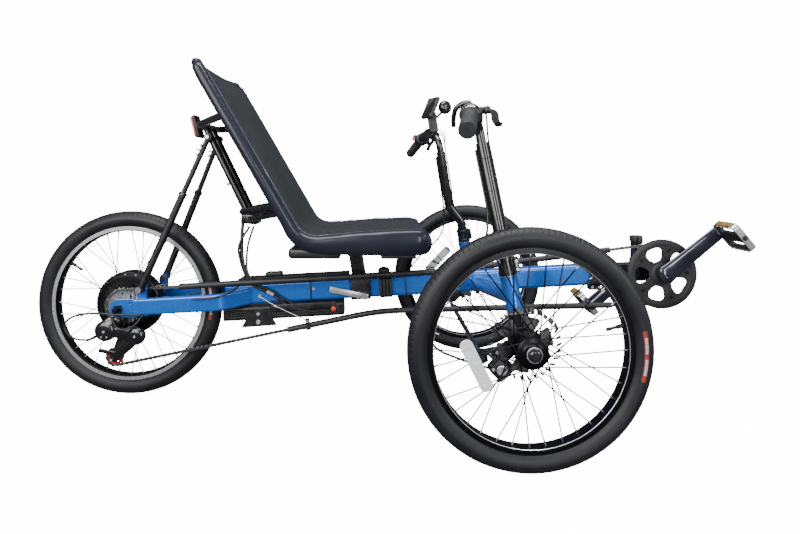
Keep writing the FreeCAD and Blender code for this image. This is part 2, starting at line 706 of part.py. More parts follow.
def caliper_shape(side):
    """Disc caliper below and behind the axle, on a bracket round the knuckle's boss."""
    disc_mid = size("disc_inside") - size("disc_thick") / 2
    edge = size("disc_radius")
    def span(inner, outer):
        return sorted((wheel_y(side, -inner), wheel_y(side, -outer)))
    def part_box(start, end, half, inner, outer):
        low, high = span(inner, outer)
        return block(Vector(-end, low, -half), Vector(-start, high, half))
    body = part_box(edge - 24, edge + 13, 21, 57, 24)
    body = body.makeFillet(6, body.Edges)
    slot = part_box(0, edge + 3, 40, disc_mid + 2.6, disc_mid - 2.6)
    bracket = part_box(10, edge - 10, 8, 56, 45)
    knob = rod(Vector(8 - edge, wheel_y(side, -24), 0), Vector(8 - edge, wheel_y(side, -20), 0), 11)
    caliper = fused([body.cut(slot), bracket, knob])
    caliper.rotate(Vector(), Vector(0, 1, 0), -size("caliper_angle"))
    caliper.translate(Vector(size("wheelbase"), 0, 0))
    return caliper.cut(knuckle_core(side))


def on_post(side, along):
    """A point of the handlebar post's axis, which stands behind the kingpin's on the left."""
    return on_kingpin(side, along) - Vector(size("left_post_back") if side > 0 else 0, 0, 0)


def bar_points(side):
    """The handlebar's bends: up the post, outward over the top, then down the grip."""
    base = on_post(side, size("post_top") - 70)
    corner = on_post(side, size("post_top"))
    over = corner + Vector(-27, side * 68, 32)
    grip_way = unit(Vector(-size("grip_back"), side, -size("grip_fall")))
    end = over + grip_way * (size("grip_length") + 104)
    return base, corner, over, end


def handlebar_shape(side):
    """Clamp sleeve on the kingpin, straight post and bent bar."""
    start = size("head_low") + size("head_length") + size("touch_gap")
    top = size("post_top")
    base, corner, over, end = bar_points(side)
    sleeve = rod(on_kingpin(side, start), on_kingpin(side, start + 40), 19)
    if side > 0:
        run = [on_kingpin(side, start + 30), on_kingpin(side, start + 66),
               on_post(side, start + 120), on_post(side, top - 44)]
        post = bent_rod(run, (20, 20), size("steerer_radius"))
    else:
        post = rod(on_kingpin(side, start + 20), on_kingpin(side, top - 44), size("steerer_radius"))
    bar = bent_rod([base, corner, over, end], (42, 46), size("bar_radius"))
    pin = rod(on_kingpin(side, start - 1), on_kingpin(side, size("head_low") + size("head_length") + 28),
              size("kingpin_radius"))
    return fused([sleeve, post, bar]).cut(pin)


def on_grip(side, back_from_end):
    """A point of the bar's grip run, measured back from its end."""
    _, _, over, end = bar_points(side)
    return end - unit(end - over) * back_from_end


def grip_shape(side):
    """Rubber grip with a closed outer end."""
    radius = size("grip_radius")
    solid = rod(on_grip(side, size("grip_length")), on_grip(side, -4), radius)
    solid = solid.makeFillet(3, [edge for edge in solid.Edges if edge.Closed])
    return solid.cut(rod(on_grip(side, size("grip_length") + 1), on_grip(side, 0), size("bar_radius")))


def lever_shape(side):
    """Brake lever: a clamp on the bar and a blade that curves out above the grip."""
    near = size("grip_length") + 48
    clamp = rod(on_grip(side, near + 9), on_grip(side, near - 9), 17)
    _, _, over, end = bar_points(side)
    way = unit(end - over)
    upward = unit(Vector(0, 0, 1) - way * way.z)
    forward = unit(way.cross(upward)) * (-side)
    if forward.x < 0:
        forward = forward * -1
    root = on_grip(side, near) + forward * 22
    perch = rod(on_grip(side, near), root + forward * 8, 9)
    blade = bent_rod([root, root + forward * 22 + way * 22, root + forward * 20 + way * 60,
                      root + forward * 8 + way * 138], (14, 30), 4.5)
    bar = rod(on_grip(side, near + 30), on_grip(side, near - 30), size("bar_radius"))
    return clamp.fuse(perch).cut(bar).fuse(blade)


def shifter_shape(side):
    """Twist shifter inboard of the right grip."""
    near = size("grip_length") + 0.2
    solid = rod(on_grip(side, near + 30), on_grip(side, near), 19)
    solid = solid.makeFillet(3, [edge for edge in solid.Edges if edge.Closed])
    return solid.cut(rod(on_grip(side, near + 31), on_grip(side, near - 1), size("bar_radius")))


def display_shape():
    """Display on the left bar: a tilted slab on a stalk, with a round horn in front of it."""
    corner = on_post(1, size("post_top"))
    middle = corner + Vector(-18, 30, 96)
    slab = Part.makeBox(14, 62, 76, Vector(-7, -31, -38))
    slab = slab.makeFillet(4, slab.Edges)
    slab.Placement = Placement(middle, Rotation(Vector(0, 1, 0), 24))
    stalk = rod(corner + Vector(-10, 26, 12), middle, 9)
    clamp_at = corner + Vector(-10, 26, 12)
    bar = bent_rod(list(bar_points(1)), (42, 46), size("bar_radius"))
    clamp = Part.makeSphere(18, clamp_at)
    return fused([slab, stalk, clamp]).cut(bar)


def horn_shape():
    """Round horn held off the front of the display's stalk by a short arm."""
    corner = on_post(1, size("post_top"))
    middle = corner + Vector(32, 22, 92)
    drum = rod(middle + Vector(-14, 0, -5), middle + Vector(14, 0, 5), 19)
    drum = drum.makeFillet(4, [edge for edge in drum.Edges if edge.Closed])
    return fused([drum, rod(corner + Vector(-14, 28, 60), middle + Vector(-4, 0, -12), 5)])


def arc_bends(points):
    """Bend radii that leave a straight stretch between a cable's neighbouring arcs."""
    bends = []
    for before, corner, after in zip(points, points[1:], points[2:]):
        turn = (corner - before).getAngle(after - corner)
        shorter = min((corner - before).Length, (after - corner).Length)
        bends.append(0.45 * shorter / math.tan(turn / 2))
    return bends


def brake_cable_shape(side):
    """Brake cable: down behind the post, out in a loop behind the axle and forward into the caliper."""
    radius = size("cable_radius")
    behind = Vector(-(size("steerer_radius") + radius + size("rest_gap")), 0, 0)
    foot = kingpin(side)[0]
    points = [on_post(side, size("post_top") - 60) + behind, on_post(side, size("post_top") * 0.53) + behind]
    points += [foot + Vector(-back, side * out, up) for back, out, up in (
        (92, -14, 158), (165, 2, 90), (212, 12, 28), (190, 18, -16), (119, 21, -42), (60, 21, -58))]
    return bent_rod(points, arc_bends(points), radius).cut(caliper_shape(side))


def tie_rod_shape():
    """Tie rod with an eye at each end, under the steering arms."""
    pieces, bores = [], []
    for _, side in SIDES:
        direction = stud_direction(side)
        end = rod_end(side)
        high = end - direction * 9
        low = end - direction * 20
        pieces.append(rod(low, high, 11))
        clearance = size("running_gap") if side < 0 else size("open_eye_gap")
        bores.append(rod(end - direction * 30, end, size("stud_radius") + clearance))
    ends = [rod_end(side) - stud_direction(side) * 14.5 for _, side in SIDES]
    way = unit(ends[1] - ends[0])
    pieces.append(rod(ends[0] + way * 8, ends[1] - way * 8, size("rod_radius")))
    solid = fused(pieces)
    for bore in bores:
        solid = solid.cut(bore)
    return solid


def build_steering():
    """Everything that turns about a kingpin, and the tie rod between the two sides."""
    for name, side in SIDES:
        keep(name + "_knuckle", knuckle_shape(side))
        keep(name + "_caliper", caliper_shape(side))
        keep(name + "_handlebar", handlebar_shape(side))
        keep(name + "_grip", grip_shape(side))
        keep(name + "_brake_lever", lever_shape(side))
        keep(name + "_brake_cable", brake_cable_shape(side))
    keep("twist_shifter", shifter_shape(-1))
    keep("thumb_throttle", shifter_shape(1))
    keep("display", fused([display_shape(), horn_shape()]))
    keep("tie_rod", tie_rod_shape())


# ---------------------------------------------------------------- drive

def boom_shape():
    """Boom sliding in the beam's mouth, with the bottom bracket shell and accessory post."""
    start, end = size("beam_end") - size("boom_overlap"), size("bottom_bracket_ahead")
    slack = 2 * (size("beam_wall") + size("touch_gap"))
    centre = bottom_bracket()
    bar = rounded_bar(Vector(start, 0, beam_height_at(start)), centre, Vector(0, 1, 0),
                      size("beam_width") - slack, size("beam_height") - slack, size("beam_corner") - 1)
    half = size("shell_half")
    shell = rod(centre - Vector(0, half, 0), centre + Vector(0, half, 0), size("shell_radius"))
    post_x = size("post_ahead")
    foot = Vector(post_x, 0, beam_height_at(post_x))
    rise = size("beam_height") / 2 + size("post_length")
    post = rod(foot, foot + Vector(0, 0, rise), size("post_radius"))
    collar = rod(foot, foot + Vector(0, 0, rise - size("post_free")), size("post_radius") + 3)
    bore = rod(centre - Vector(0, half + 1, 0), centre + Vector(0, half + 1, 0),
               size("crank_axle_radius") + size("running_gap"))
    return fused([bar, shell, post, collar]).cut(bore)


def boom_clamp_shape():
    """Collar round the beam's mouth, split underneath and drawn together by two bolts."""
    end = size("beam_end")
    start = end - 38
    first, last = Vector(start, 0, beam_height_at(start)), Vector(end, 0, beam_height_at(end))
    outer = rounded_bar(first, last, Vector(0, 1, 0), size("beam_width") + 7, size("beam_height") + 7, 12)
    low = size("beam_height") / 2
    ears = block(Vector(start + 4, -10, beam_height_at(start) - low - 14),
                 Vector(end - 4, 10, beam_height_at(start) - low + 2))
    split = block(Vector(start - 5, -1.5, beam_height_at(start) - low - 40),
                  Vector(end + 5, 1.5, beam_height_at(start)))
    return fused([outer, ears]).cut(split).cut(beam_envelope())


def chainring_shape():
    """Chainring with a five-armed spider on the crank axle."""
    centre = bottom_bracket()
    line = -size("chain_line")
    radius = sprocket_radius(size("ring_teeth")) - size("chain_height") / 2 - size("touch_gap")
    def disc(outer, bore, start, end):
        solid = rod(centre + Vector(0, start, 0), centre + Vector(0, end, 0), outer)
        return solid.cut(rod(centre + Vector(0, start + 1, 0), centre + Vector(0, end - 1, 0), bore))
    ring = disc(radius, radius - 18, line + 1, line - 1)
    pieces = [ring, disc(26, size("crank_axle_radius"), line + 1, line - 5)]
    for index in range(5):
        arm = block(Vector(18, line - 5, -8), Vector(radius - 8, line - 1, 8))
        arm.rotate(Vector(), Vector(0, 1, 0), -72 * index)
        arm.translate(centre)
        pieces.append(arm)
    return fused(pieces)


def chainguard_shape():
    """Open five-spoke guard outside the chainring."""
    centre = bottom_bracket()
    outer = size("guard_radius")
    start, end = -(size("chain_line") + 5), -(size("chain_line") + 9)
    def ring(radius, bore):
        solid = rod(centre + Vector(0, start, 0), centre + Vector(0, end, 0), radius)
        return solid.cut(rod(centre + Vector(0, start + 1, 0), centre + Vector(0, end - 1, 0), bore))
    pieces = [ring(outer, outer - 16), ring(30, size("crank_axle_radius"))]
    for index in range(5):
        arm = block(Vector(24, end, -7), Vector(outer - 10, start, 7))
        arm.rotate(Vector(), Vector(0, 1, 0), -72 * index - size("crank_angle"))
        arm.translate(centre)
        pieces.append(arm)
    return fused(pieces)


def crank_shape(side):
    """Tapered crank arm with round bosses at both ends."""
    inner = side * size("crank_inside")
    thick = side * size("crank_thick")
    centre, end = bottom_bracket(), crank_end(side)
    way = unit(end - centre)
    across = way.cross(Vector(0, 1, 0))
    offset = Vector(0, inner, 0)
    corners = [centre + across * 15, end + across * 10, end - across * 10, centre - across * 15]
    corners = [corner + offset for corner in corners]
    arm = Part.Face(Part.makePolygon(corners + corners[:1])).extrude(Vector(0, thick, 0))
    bosses = [rod(spot + offset, spot + offset + Vector(0, thick, 0), radius)
              for spot, radius in ((centre, 18), (end, 13))]
    return fused([arm] + bosses).cut(
        rod(end + Vector(0, inner - side, 0), end + Vector(0, inner + thick + side, 0), 6)).cut(
        rod(centre + Vector(0, inner - side, 0), centre + Vector(0, inner + thick + side, 0),
            size("crank_axle_radius")))


def crank_axle_shape():
    """Crank axle between the two arms."""
    centre = bottom_bracket()
    end = size("crank_inside") + size("crank_thick")
    return rod(centre - Vector(0, end, 0), centre + Vector(0, end, 0), size("crank_axle_radius"))


def pedal_axle_shape(side):
    """Pedal axle screwed into the crank, with a head that keeps the pedal on."""
    end = crank_end(side)
    inner = side * size("crank_inside")
    face = side * (size("crank_inside") + size("crank_thick"))
    out = face + side * (6 + size("pedal_wide"))
    return fused([rod(end + Vector(0, inner, 0), end + Vector(0, out, 0), 6),
                  rod(end + Vector(0, face, 0), end + Vector(0, face + side * 5, 0), 9)])


def pedal_shape(side):
    """Pedal: a bored centre barrel between two cage bars, with end plates."""
    end = crank_end(side)
    start = side * (size("crank_inside") + size("crank_thick") + 5 + size("touch_gap"))
    wide = side * size("pedal_wide")
    long_half, thick_half = size("pedal_long") / 2, size("pedal_thick") / 2
    low_y, high_y = sorted((start, start + wide))
    outer = block(end + Vector(-long_half, low_y, -thick_half), end + Vector(long_half, high_y, thick_half))
    upright = [edge for edge in outer.Edges if abs(edge.tangentAt(edge.FirstParameter).z) > 0.9]
    outer = outer.makeFillet(12, upright)
    for forward in (-1, 1):
        near, far = sorted((forward * 15, forward * (long_half - 8)))
        outer = outer.cut(block(end + Vector(near, low_y + 12, -thick_half - 1),
                                end + Vector(far, high_y - 12, thick_half + 1)))
    outer.rotate(end, Vector(0, 1, 0), size("pedal_dip"))
    return outer.cut(rod(end + Vector(0, start - side, 0), end + Vector(0, start + wide + side, 0),
                         6 + size("running_gap")))


def build_drive():
    """Boom, crankset, pedals, chain and derailleur."""
    keep("boom", boom_shape())
    keep("boom_clamp", boom_clamp_shape())
    keep("chainring", chainring_shape())
    keep("chainguard", chainguard_shape())
    keep("crank_axle", crank_axle_shape())
    for name, side in SIDES:
        keep(name + "_crank", fused([crank_shape(side), pedal_axle_shape(side)]))
        keep(name + "_pedal", pedal_shape(side))


# ---------------------------------------------------------------- chain

def chain_circles():
    """What the chain runs round, in its own plane: middle, radius, +1 for anticlockwise."""
    shaft = bottom_bracket()
    bend = size("chain_bend")
    return (
        (Vector(0, 0, 0), sprocket_radius(SPROCKETS[int(size("chain_sprocket"))]), -1),
        (Vector(size("upper_bend_ahead"), 0, size("upper_bend_up") + bend), bend, 1),
        (shaft, sprocket_radius(size("ring_teeth")), -1),
        (Vector(size("lower_bend_ahead"), 0, -size("lower_bend_drop") - bend), bend, 1),
        (Vector(size("tension_ahead"), 0, -size("tension_drop")), size("pulley_radius"), -1),
        (Vector(size("guide_ahead"), 0, -size("guide_drop")), size("pulley_radius"), 1),
    )


def chain_runs():
    """The chain's closed line as edges: a run, then the arc that ends it, in order."""
    circles = chain_circles()
    runs = []
    for (start, start_radius, start_turn), (end, end_radius, end_turn) in zip(
            circles, circles[1:] + circles[:1]):
        apart = end - start
        signed = start_turn * start_radius - end_turn * end_radius
        angle = math.atan2(apart.z, apart.x) - math.acos(signed / apart.Length)
        normal = Vector(math.cos(angle), 0, math.sin(angle))
        runs.append((start + normal * (start_turn * start_radius), end + normal * (end_turn * end_radius)))
    arcs = []
    for (middle, radius, turn), (_, arrive), (leave, _) in zip(
            circles[1:] + circles[:1], runs, runs[1:] + runs[:1]):
        first = math.atan2(arrive.z - middle.z, arrive.x - middle.x)
        last = math.atan2(leave.z - middle.z, leave.x - middle.x)
        sweep = (last - first) * turn % (2 * math.pi) * turn
        half = first + sweep / 2
        via = middle + Vector(math.cos(half), 0, math.sin(half)) * radius
        arcs.append(Part.Arc(arrive, via, leave).toShape())
    lines = [Part.LineSegment(start, end).toShape() for start, end in runs]
    return [edge for pair in zip(lines, arcs) for edge in pair]


def chain_shape():
    """The chain as one closed band, in its working plane."""
    line = Part.Wire(chain_runs())
    half = size("chain_height") / 2
    outer, inner = line.makeOffset2D(half), line.makeOffset2D(-half)
    if outer.BoundBox.DiagonalLength < inner.BoundBox.DiagonalLength:
        outer, inner = inner, outer
    band = Part.Face(outer).cut(Part.Face(inner)).extrude(Vector(0, size("chain_width"), 0))
    band.translate(Vector(0, -size("chain_line") - size("chain_width") / 2, 0))
    return band


def chain_tube_shape(first_run, start_ahead, end_ahead):
    """Plastic tube round one bent run of the chain, between two distances ahead."""
    line, arc, last = chain_runs()[first_run:first_run + 3]
    near, far = line.Vertexes[-1].Point, last.Vertexes[0].Point
    before, after = line.Vertexes[0].Point, last.Vertexes[-1].Point
    def on_run(start, end, ahead):
        return start + (end - start) * ((ahead - start.x) / (end.x - start.x))
    path = Part.Wire([Part.LineSegment(on_run(before, near, start_ahead), near).toShape(), arc,
                      Part.LineSegment(far, on_run(far, after, end_ahead)).toShape()])
    start = path.Vertexes[0].Point
    solids = []
    for radius in (size("tube_radius"), size("tube_bore")):
        circle = Part.Wire(Part.makeCircle(radius, start, near - start))
        solids.append(swept(circle, path))
    tube = solids[0].cut(solids[1])
    tube.translate(Vector(0, -size("chain_line"), 0))
    return tube


def derailleur_shape():
    """Rear derailleur: knuckle on the hanger, linkage and the two plates of its cage."""
    line = -size("chain_line")
    plate_y = size("chain_width") / 2 + 2.2
    hanger = Vector(4, 0, -30)
    out = -(size("dropout_gap") / 2 + size("dropout_plate"))
    guide = Vector(size("guide_ahead"), 0, -size("guide_drop"))
    tension = Vector(size("tension_ahead"), 0, -size("tension_drop"))
    elbow = Vector(-40, 0, -34)
    def drum(spot, start, end, radius):
        return rod(Vector(spot.x, start, spot.z), Vector(spot.x, end, spot.z), radius)
    knuckle = drum(hanger, out, out - 16, 12)
    arm = rounded_bar(Vector(hanger.x, out - 9, hanger.z), Vector(elbow.x, out - 9, elbow.z),
                      Vector(0, 1, 0), 14, 22, 3)
    joint = drum(elbow, out - 18, out + 4, 15)
    link = rounded_bar(Vector(elbow.x, out - 6, elbow.z), Vector(guide.x - 12, line - plate_y - 7, guide.z),
                       Vector(0, 1, 0), 14, 26, 3)
    pieces = [knuckle, arm, joint, link]
    for side in (-1, 1):
        start = line + side * plate_y
        end = start + side * 1.6
        ends = [Part.makeCylinder(13, 1.6, Vector(spot.x, min(start, end), spot.z), Vector(0, 1, 0))
                for spot in (guide, tension)]
        way = unit(tension - guide)
        across = way.cross(Vector(0, 1, 0)) * 11
        corners = [guide + across, tension + across, tension - across, guide - across]
        corners = [Vector(corner.x, min(start, end), corner.z) for corner in corners]
        web = Part.Face(Part.makePolygon(corners + corners[:1])).extrude(Vector(0, 1.6, 0))
        pieces += ends + [web]
    pieces += [drum(spot, line - plate_y - 2, line + plate_y + 2, 4) for spot in (guide, tension)]
    return fused(pieces)


def pulley_shapes():
    """Guide and tension pulleys between the cage's plates."""
    line = -size("chain_line")
    radius = size("pulley_radius") - size("chain_height") / 2 - size("touch_gap")
    shapes = []
    for ahead, drop in (("guide_ahead", "guide_drop"), ("tension_ahead", "tension_drop")):
        spot = Vector(size(ahead), line - 2.5, -size(drop))
        solid = Part.makeCylinder(radius, 5, spot, Vector(0, 1, 0))
        shapes.append(solid.cut(Part.makeCylinder(4 + size("running_gap"), 5, spot, Vector(0, 1, 0))))
    return Part.makeCompound(shapes)


def build_chain():
    """Chain, its two tubes and the rear derailleur."""
    keep("chain", chain_shape())
    keep("chain_tubes", Part.makeCompound([
        chain_tube_shape(0, size("upper_tube_tail"), size("upper_tube_nose")),
        chain_tube_shape(4, size("lower_tube_nose"), size("lower_tube_tail"))]))
    keep("rear_derailleur", derailleur_shape())
    keep("derailleur_pulleys", pulley_shapes())


# ---------------------------------------------------------------- seat

def rail_points(side):
    """A seat rail: along the pan, round the crook and up the back."""
    y = side * size("seat_half")
    return [Vector(size("seat_front_ahead"), y, size("seat_pan_up")),
            Vector(size("seat_crook_ahead"), y, size("seat_pan_up")),
            Vector(size("seat_top_ahead"), y, size("seat_top_up"))]


def rail_shape(side, extra=0.0):
    """One seat rail, or the fatter form that clears it."""
    return bent_rod(rail_points(side), (size("seat_bend"),), size("seat_rail_radius") + extra)


def back_point(up, y=0.0, behind=0.0):
    """A point of the back's middle line at a height, moved out behind the seat."""
    _, crook, top = rail_points(1)
    way = unit(top - crook)
    rear = Vector(-way.z, 0, way.x)
    return Vector(crook.x, 0, crook.z) + way * ((up - crook.z) / way.z) + rear * behind + Vector(0, y, 0)


def bow_shape(ends_up, back_ahead, back_up, extra=0.0):
    """A bent tube from rail to rail that stands out behind the back."""
    radius = size("hoop_radius") + extra
    half = size("seat_half")
    points = [back_point(ends_up, half), Vector(back_ahead, half * 0.42, back_up)]
    points += [Vector(point.x, -point.y, point.z) for point in reversed(points)]
    return bent_rod(points, (50, 50), radius)


def seat_bows(extra=0.0):
    """The upper hoop and the lower bow."""
    return (bow_shape(size("hoop_up"), size("hoop_back_ahead"), size("hoop_back_up"), extra),
            bow_shape(size("bow_up"), size("bow_back_ahead"), size("bow_back_up"), extra))


def centre_tube_ends(side):
    """A centre tube runs from the upper hoop down to the lower bow."""
    y = side * size("centre_tube_half")
    return (Vector(size("hoop_back_ahead"), y, size("hoop_back_up")),
            Vector(size("bow_back_ahead"), y, size("bow_back_up")))


def strut_head(side):
    """Where a strut is bolted to the outside of a centre tube."""
    top, bottom = centre_tube_ends(side)
    share = 0.13
    point = top + (bottom - top) * share
    out = size("centre_tube_half") + size("hoop_radius") + size("touch_gap") + size("strut_radius")
    return Vector(point.x, side * out, point.z)


def centre_tubes_shape():
    """Two upright tubes behind the back, joined by the bolt that holds the struts."""
    pieces = [rod(*centre_tube_ends(side), size("hoop_radius")) for _, side in SIDES]
    head = strut_head(1)
    reach = head.y + 12
    pieces.append(rod(Vector(head.x, -reach, head.z), Vector(head.x, reach, head.z), 4))
    seats = [rod(Vector(x, -reach, z), Vector(x, reach, z), size("hoop_radius")) for x, z in (
        (size("hoop_back_ahead"), size("hoop_back_up")), (size("bow_back_ahead"), size("bow_back_up")))]
    return cut_all(fused(pieces), seats)


def strut_shape(side):
    """Telescopic strut from the dropout's ear to the centre tube."""
    half = size("strut_radius")
    inner = size("dropout_gap") / 2 + size("dropout_plate") + size("touch_gap")
    foot = Vector(size("strut_foot_ahead"), side * (inner + half), size("strut_foot_up"))
    head = strut_head(side)
    way = unit(head - foot)
    middle = foot + (head - foot) * size("strut_share")
    def eye(spot):
        return rod(spot + Vector(0, -half, 0), spot + Vector(0, half, 0), 10)
    def hole(spot):
        return rod(spot + Vector(0, -30, 0), spot + Vector(0, 30, 0), 4)
    solid = fused([rod(foot, middle, size("strut_radius")),
                   rod(middle - way * 5, head, size("strut_rod_radius")),
                   eye(foot), eye(head)])
    return solid.cut(hole(foot)).cut(hole(head)).cut(centre_guard(side)).cut(dropout_guard(side))


def centre_guard(side):
    """Room that a strut leaves for the centre tube beside it."""
    return rod(*centre_tube_ends(side), size("hoop_radius") + size("touch_gap"))


def dropout_guard(side):
    """Room that a strut leaves for the dropout's ear."""
    face = side * (size("dropout_gap") / 2 + size("dropout_plate") + size("touch_gap"))
    low_y, high_y = sorted((face, 0))
    return block(Vector(0, low_y, -60), Vector(size("strut_foot_ahead") + 20, high_y, 110))


def strut_bolt_shape(side):
    """Bolt through the strut's foot and the dropout's ear."""
    inner = size("dropout_gap") / 2
    foot = Vector(size("strut_foot_ahead"), 0, size("strut_foot_up"))
    out = inner + size("dropout_plate") + size("touch_gap") + 2 * size("strut_radius")
    start, end = side * (inner - 4), side * (out + size("touch_gap"))
    return fused([rod(foot + Vector(0, start, 0), foot + Vector(0, end + side * 5, 0), 4),
                  rod(foot + Vector(0, end, 0), foot + Vector(0, end + side * 5, 0), 8),
                  hexagon(foot + Vector(0, start, 0), Vector(0, side, 0), 6.5, 4)])


def pan_bar_shape(extra=0.0):
    """Cross bar under the pan, its ends turned up to the rails."""
    x = size("seat_post_ahead") - size("seat_post_back")
    half, up = size("seat_half"), size("seat_pan_up")
    low = up - size("cross_bar_drop")
    points = [Vector(x, half, up), Vector(x, half - 26, low), Vector(x, 26 - half, low), Vector(x, -half, up)]
    return bent_rod(points, (14, 14), size("seat_rail_radius") + extra)


def seat_post_shape(extra=0.0):
    """Rectangular post between the beam's saddle and the pan's cross bar."""
    foot_x = size("seat_post_ahead")
    foot = Vector(foot_x, 0, beam_height_at(foot_x))
    top = Vector(foot_x - size("seat_post_back"), 0, size("seat_pan_up") - size("cross_bar_drop"))
    post = rounded_bar(foot, top, Vector(0, 1, 0), size("seat_post_wide") + 2 * extra,
                       size("seat_post_long") + 2 * extra, 5)
    return post.cut(beam_envelope()).cut(pan_bar_shape())


def seat_clamp_shape():
    """Saddle clamp round the beam at the foot of the seat post."""
    middle = size("seat_post_ahead")
    def collar(half, extra):
        ends = [Vector(x, 0, beam_height_at(x)) for x in (middle - half, middle + half)]
        return rounded_bar(ends[0], ends[1], Vector(0, 1, 0), size("beam_width") + extra,
                           size("beam_height") + extra, size("beam_corner") + extra / 2)
    foot = Vector(middle, 0, beam_height_at(middle))
    top = Vector(middle - size("seat_post_back"), 0, size("seat_pan_up") - size("cross_bar_drop"))
    post = rounded_bar(foot, top, Vector(0, 1, 0), size("seat_post_wide"), size("seat_post_long"), 5)
    barrel_y = -(size("beam_width") / 2 + 14)
    barrel_z = beam_height_at(middle) - size("beam_height") / 2 + 8
    barrel = rod(Vector(middle + 12, barrel_y, barrel_z), Vector(middle + 12, 0, barrel_z), 8)
    lever = rounded_bar(Vector(middle + 12, barrel_y, barrel_z),
                        Vector(middle - 78, barrel_y - 10, barrel_z + 20),
                        Vector(0, 1, 0), 5, 14, 2)
    return fused([collar(26, 10), barrel, lever]).cut(beam_envelope()).cut(post)


def seat_top_bar(extra=0.0):
    """Straight bar between the rails' top ends."""
    right, left = rail_points(-1)[2], rail_points(1)[2]
    way = unit(rail_points(1)[1] - rail_points(1)[2]) * 14
    return rod(right + way, left + way, size("hoop_radius") + extra)


def cover_shapes():
    """Padded cover round the rails: a flat pan, and a back that begins with the crook's curve."""
    front, crook, top = [Vector(point.x, 0, point.z) for point in rail_points(1)]
    turn = unit(crook - front).getAngle(unit(top - crook))
    cut_back = size("seat_bend") * math.tan(turn / 2)
    pan_end = crook + unit(front - crook) * cut_back
    pan_front = front + unit(front - crook) * size("seat_edge")
    top_end = top + unit(top - crook) * size("seat_edge")
    wide = 2 * (size("seat_half") + size("seat_edge"))
    slack = size("touch_gap")
    down = Vector(0, 0, (size("seat_pad") - size("pan_pad")) / 2)
    pan = rounded_bar(pan_front + down, pan_end + down, Vector(0, 1, 0), wide, size("pan_pad"), 14)
    profile = rounded_rectangle(pan_front, Vector(0, 1, 0), Vector(0, 0, 1), wide, size("seat_pad"), 12)
    whole = swept(profile, rounded_path([pan_front, crook, top_end], (size("seat_bend"),)))
    reach = 2 * size("seat_pad")
    back = whole.cut(block(Vector(pan_end.x, -wide, crook.z - reach),
                           Vector(pan_front.x + reach, wide, crook.z + reach)))
    fat = [rail_shape(side, slack) for _, side in SIDES]
    fat += list(seat_bows(slack)) + [pan_bar_shape(slack), seat_top_bar(slack), seat_post_shape(slack)]
    return [cut_all(shape, fat) for shape in (pan, back)]


def cut_all(shape, tools):
    """The shape with every tool cut out of it."""
    for tool in tools:
        shape = shape.cut(tool)
    return shape


def build_seat():
    """Seat rails, bows, cover, struts and post."""
    rails = [rail_shape(side) for _, side in SIDES]
    for (name, side), rail in zip(SIDES, rails):
        keep(name + "_seat_rail", rail)
    keep("seat_struts", both(strut_shape))
    keep("strut_bolts", both(strut_bolt_shape))
    keep("seat_bows", Part.makeCompound([cut_all(bow, rails) for bow in seat_bows()]))
    keep("centre_tubes", centre_tubes_shape())
    bars = (pan_bar_shape(), seat_top_bar())
    keep("seat_cross_bars", Part.makeCompound([cut_all(bar, rails) for bar in bars]))
    keep("seat_post", seat_post_shape())
    keep("seat_clamp", seat_clamp_shape())
    pan, back = cover_shapes()
    keep("seat_pan", pan)
    keep("seat_back", back)


# ---------------------------------------------------------------- fittings

def controller_shape():
    """Motor controller box hung under the beam by a bracket plate."""
    tail, nose = size("controller_tail"), size("controller_nose")
    drop = size("beam_height") / 2 + 4 + size("controller_height") / 2
    ends = [Vector(x, 0, beam_height_at(x) - drop) for x in (tail, nose)]
    box = rounded_bar(ends[0], ends[1], Vector(0, 1, 0), size("controller_width"),
                      size("controller_height"), 8)
    plate_ends = [Vector(x, 0, beam_height_at(x) - size("beam_height") / 2 - 3)
                  for x in (tail + 0.15 * (nose - tail), tail + 0.52 * (nose - tail))]
    plate = rounded_bar(plate_ends[0], plate_ends[1], Vector(0, 1, 0), size("beam_width") - 8, 8, 1)
    stays = [stay_shape(side) for _, side in SIDES]
    return cut_all(fused([box, plate]), [beam_envelope()] + stays)


def case_shape():
    """Slim case along the top of the beam, with a sloping rear end."""
    tail, nose = size("case_tail"), size("case_nose")
    lift = size("beam_height") / 2
    half = size("beam_width") / 2 - 3
    def on_top(x, above):
        return Vector(x, -half, beam_height_at(x) + lift + above)
    corners = [on_top(tail, -6), on_top(tail + 34, size("case_height")), on_top(nose, size("case_height")),
               on_top(nose, -6)]
    solid = Part.Face(Part.makePolygon(corners + corners[:1])).extrude(Vector(0, 2 * half, 0))
    return solid.cut(beam_envelope())


def reflector_shape():
    """Tail reflector in its holder, clipped to the middle of the upper hoop."""
    x, z = size("hoop_back_ahead"), size("hoop_back_up")
    plate = block(Vector(x - 40, -22, z - 30), Vector(x - 24, 22, z + 34))
    plate = plate.makeFillet(5, plate.Edges)
    stem = block(Vector(x - 30, -9, z - 8), Vector(x, 9, z + 8))
    return fused([plate, stem]).cut(seat_bows()[0])


def cable_bundle_shape():
    """Cables tied together, hanging from the lower bow to the beam's side."""
    x, z = size("bow_back_ahead"), size("bow_back_up")
    radius = size("bundle_radius")
    beside = -(size("beam_width") / 2 + radius + size("rest_gap"))
    fall = z - beam_height_at(x) - 4
    points = [Vector(x + ahead, across, z - share * fall) for ahead, across, share in (
        (-14, -2, 0.07), (-18, -6, 0.32), (-16, -14, 0.54), (-6, beside + 4, 0.74), (22, beside, 0.9),
        (62, beside, 1))]
    return bent_rod(points, arc_bends(points), radius)


def build_fittings():
    """Boxes, reflector and cables carried by the frame."""
    keep("controller", controller_shape())
    keep("beam_case", case_shape())
    keep("tail_reflector", reflector_shape())
    keep("cable_bundle", cable_bundle_shape())


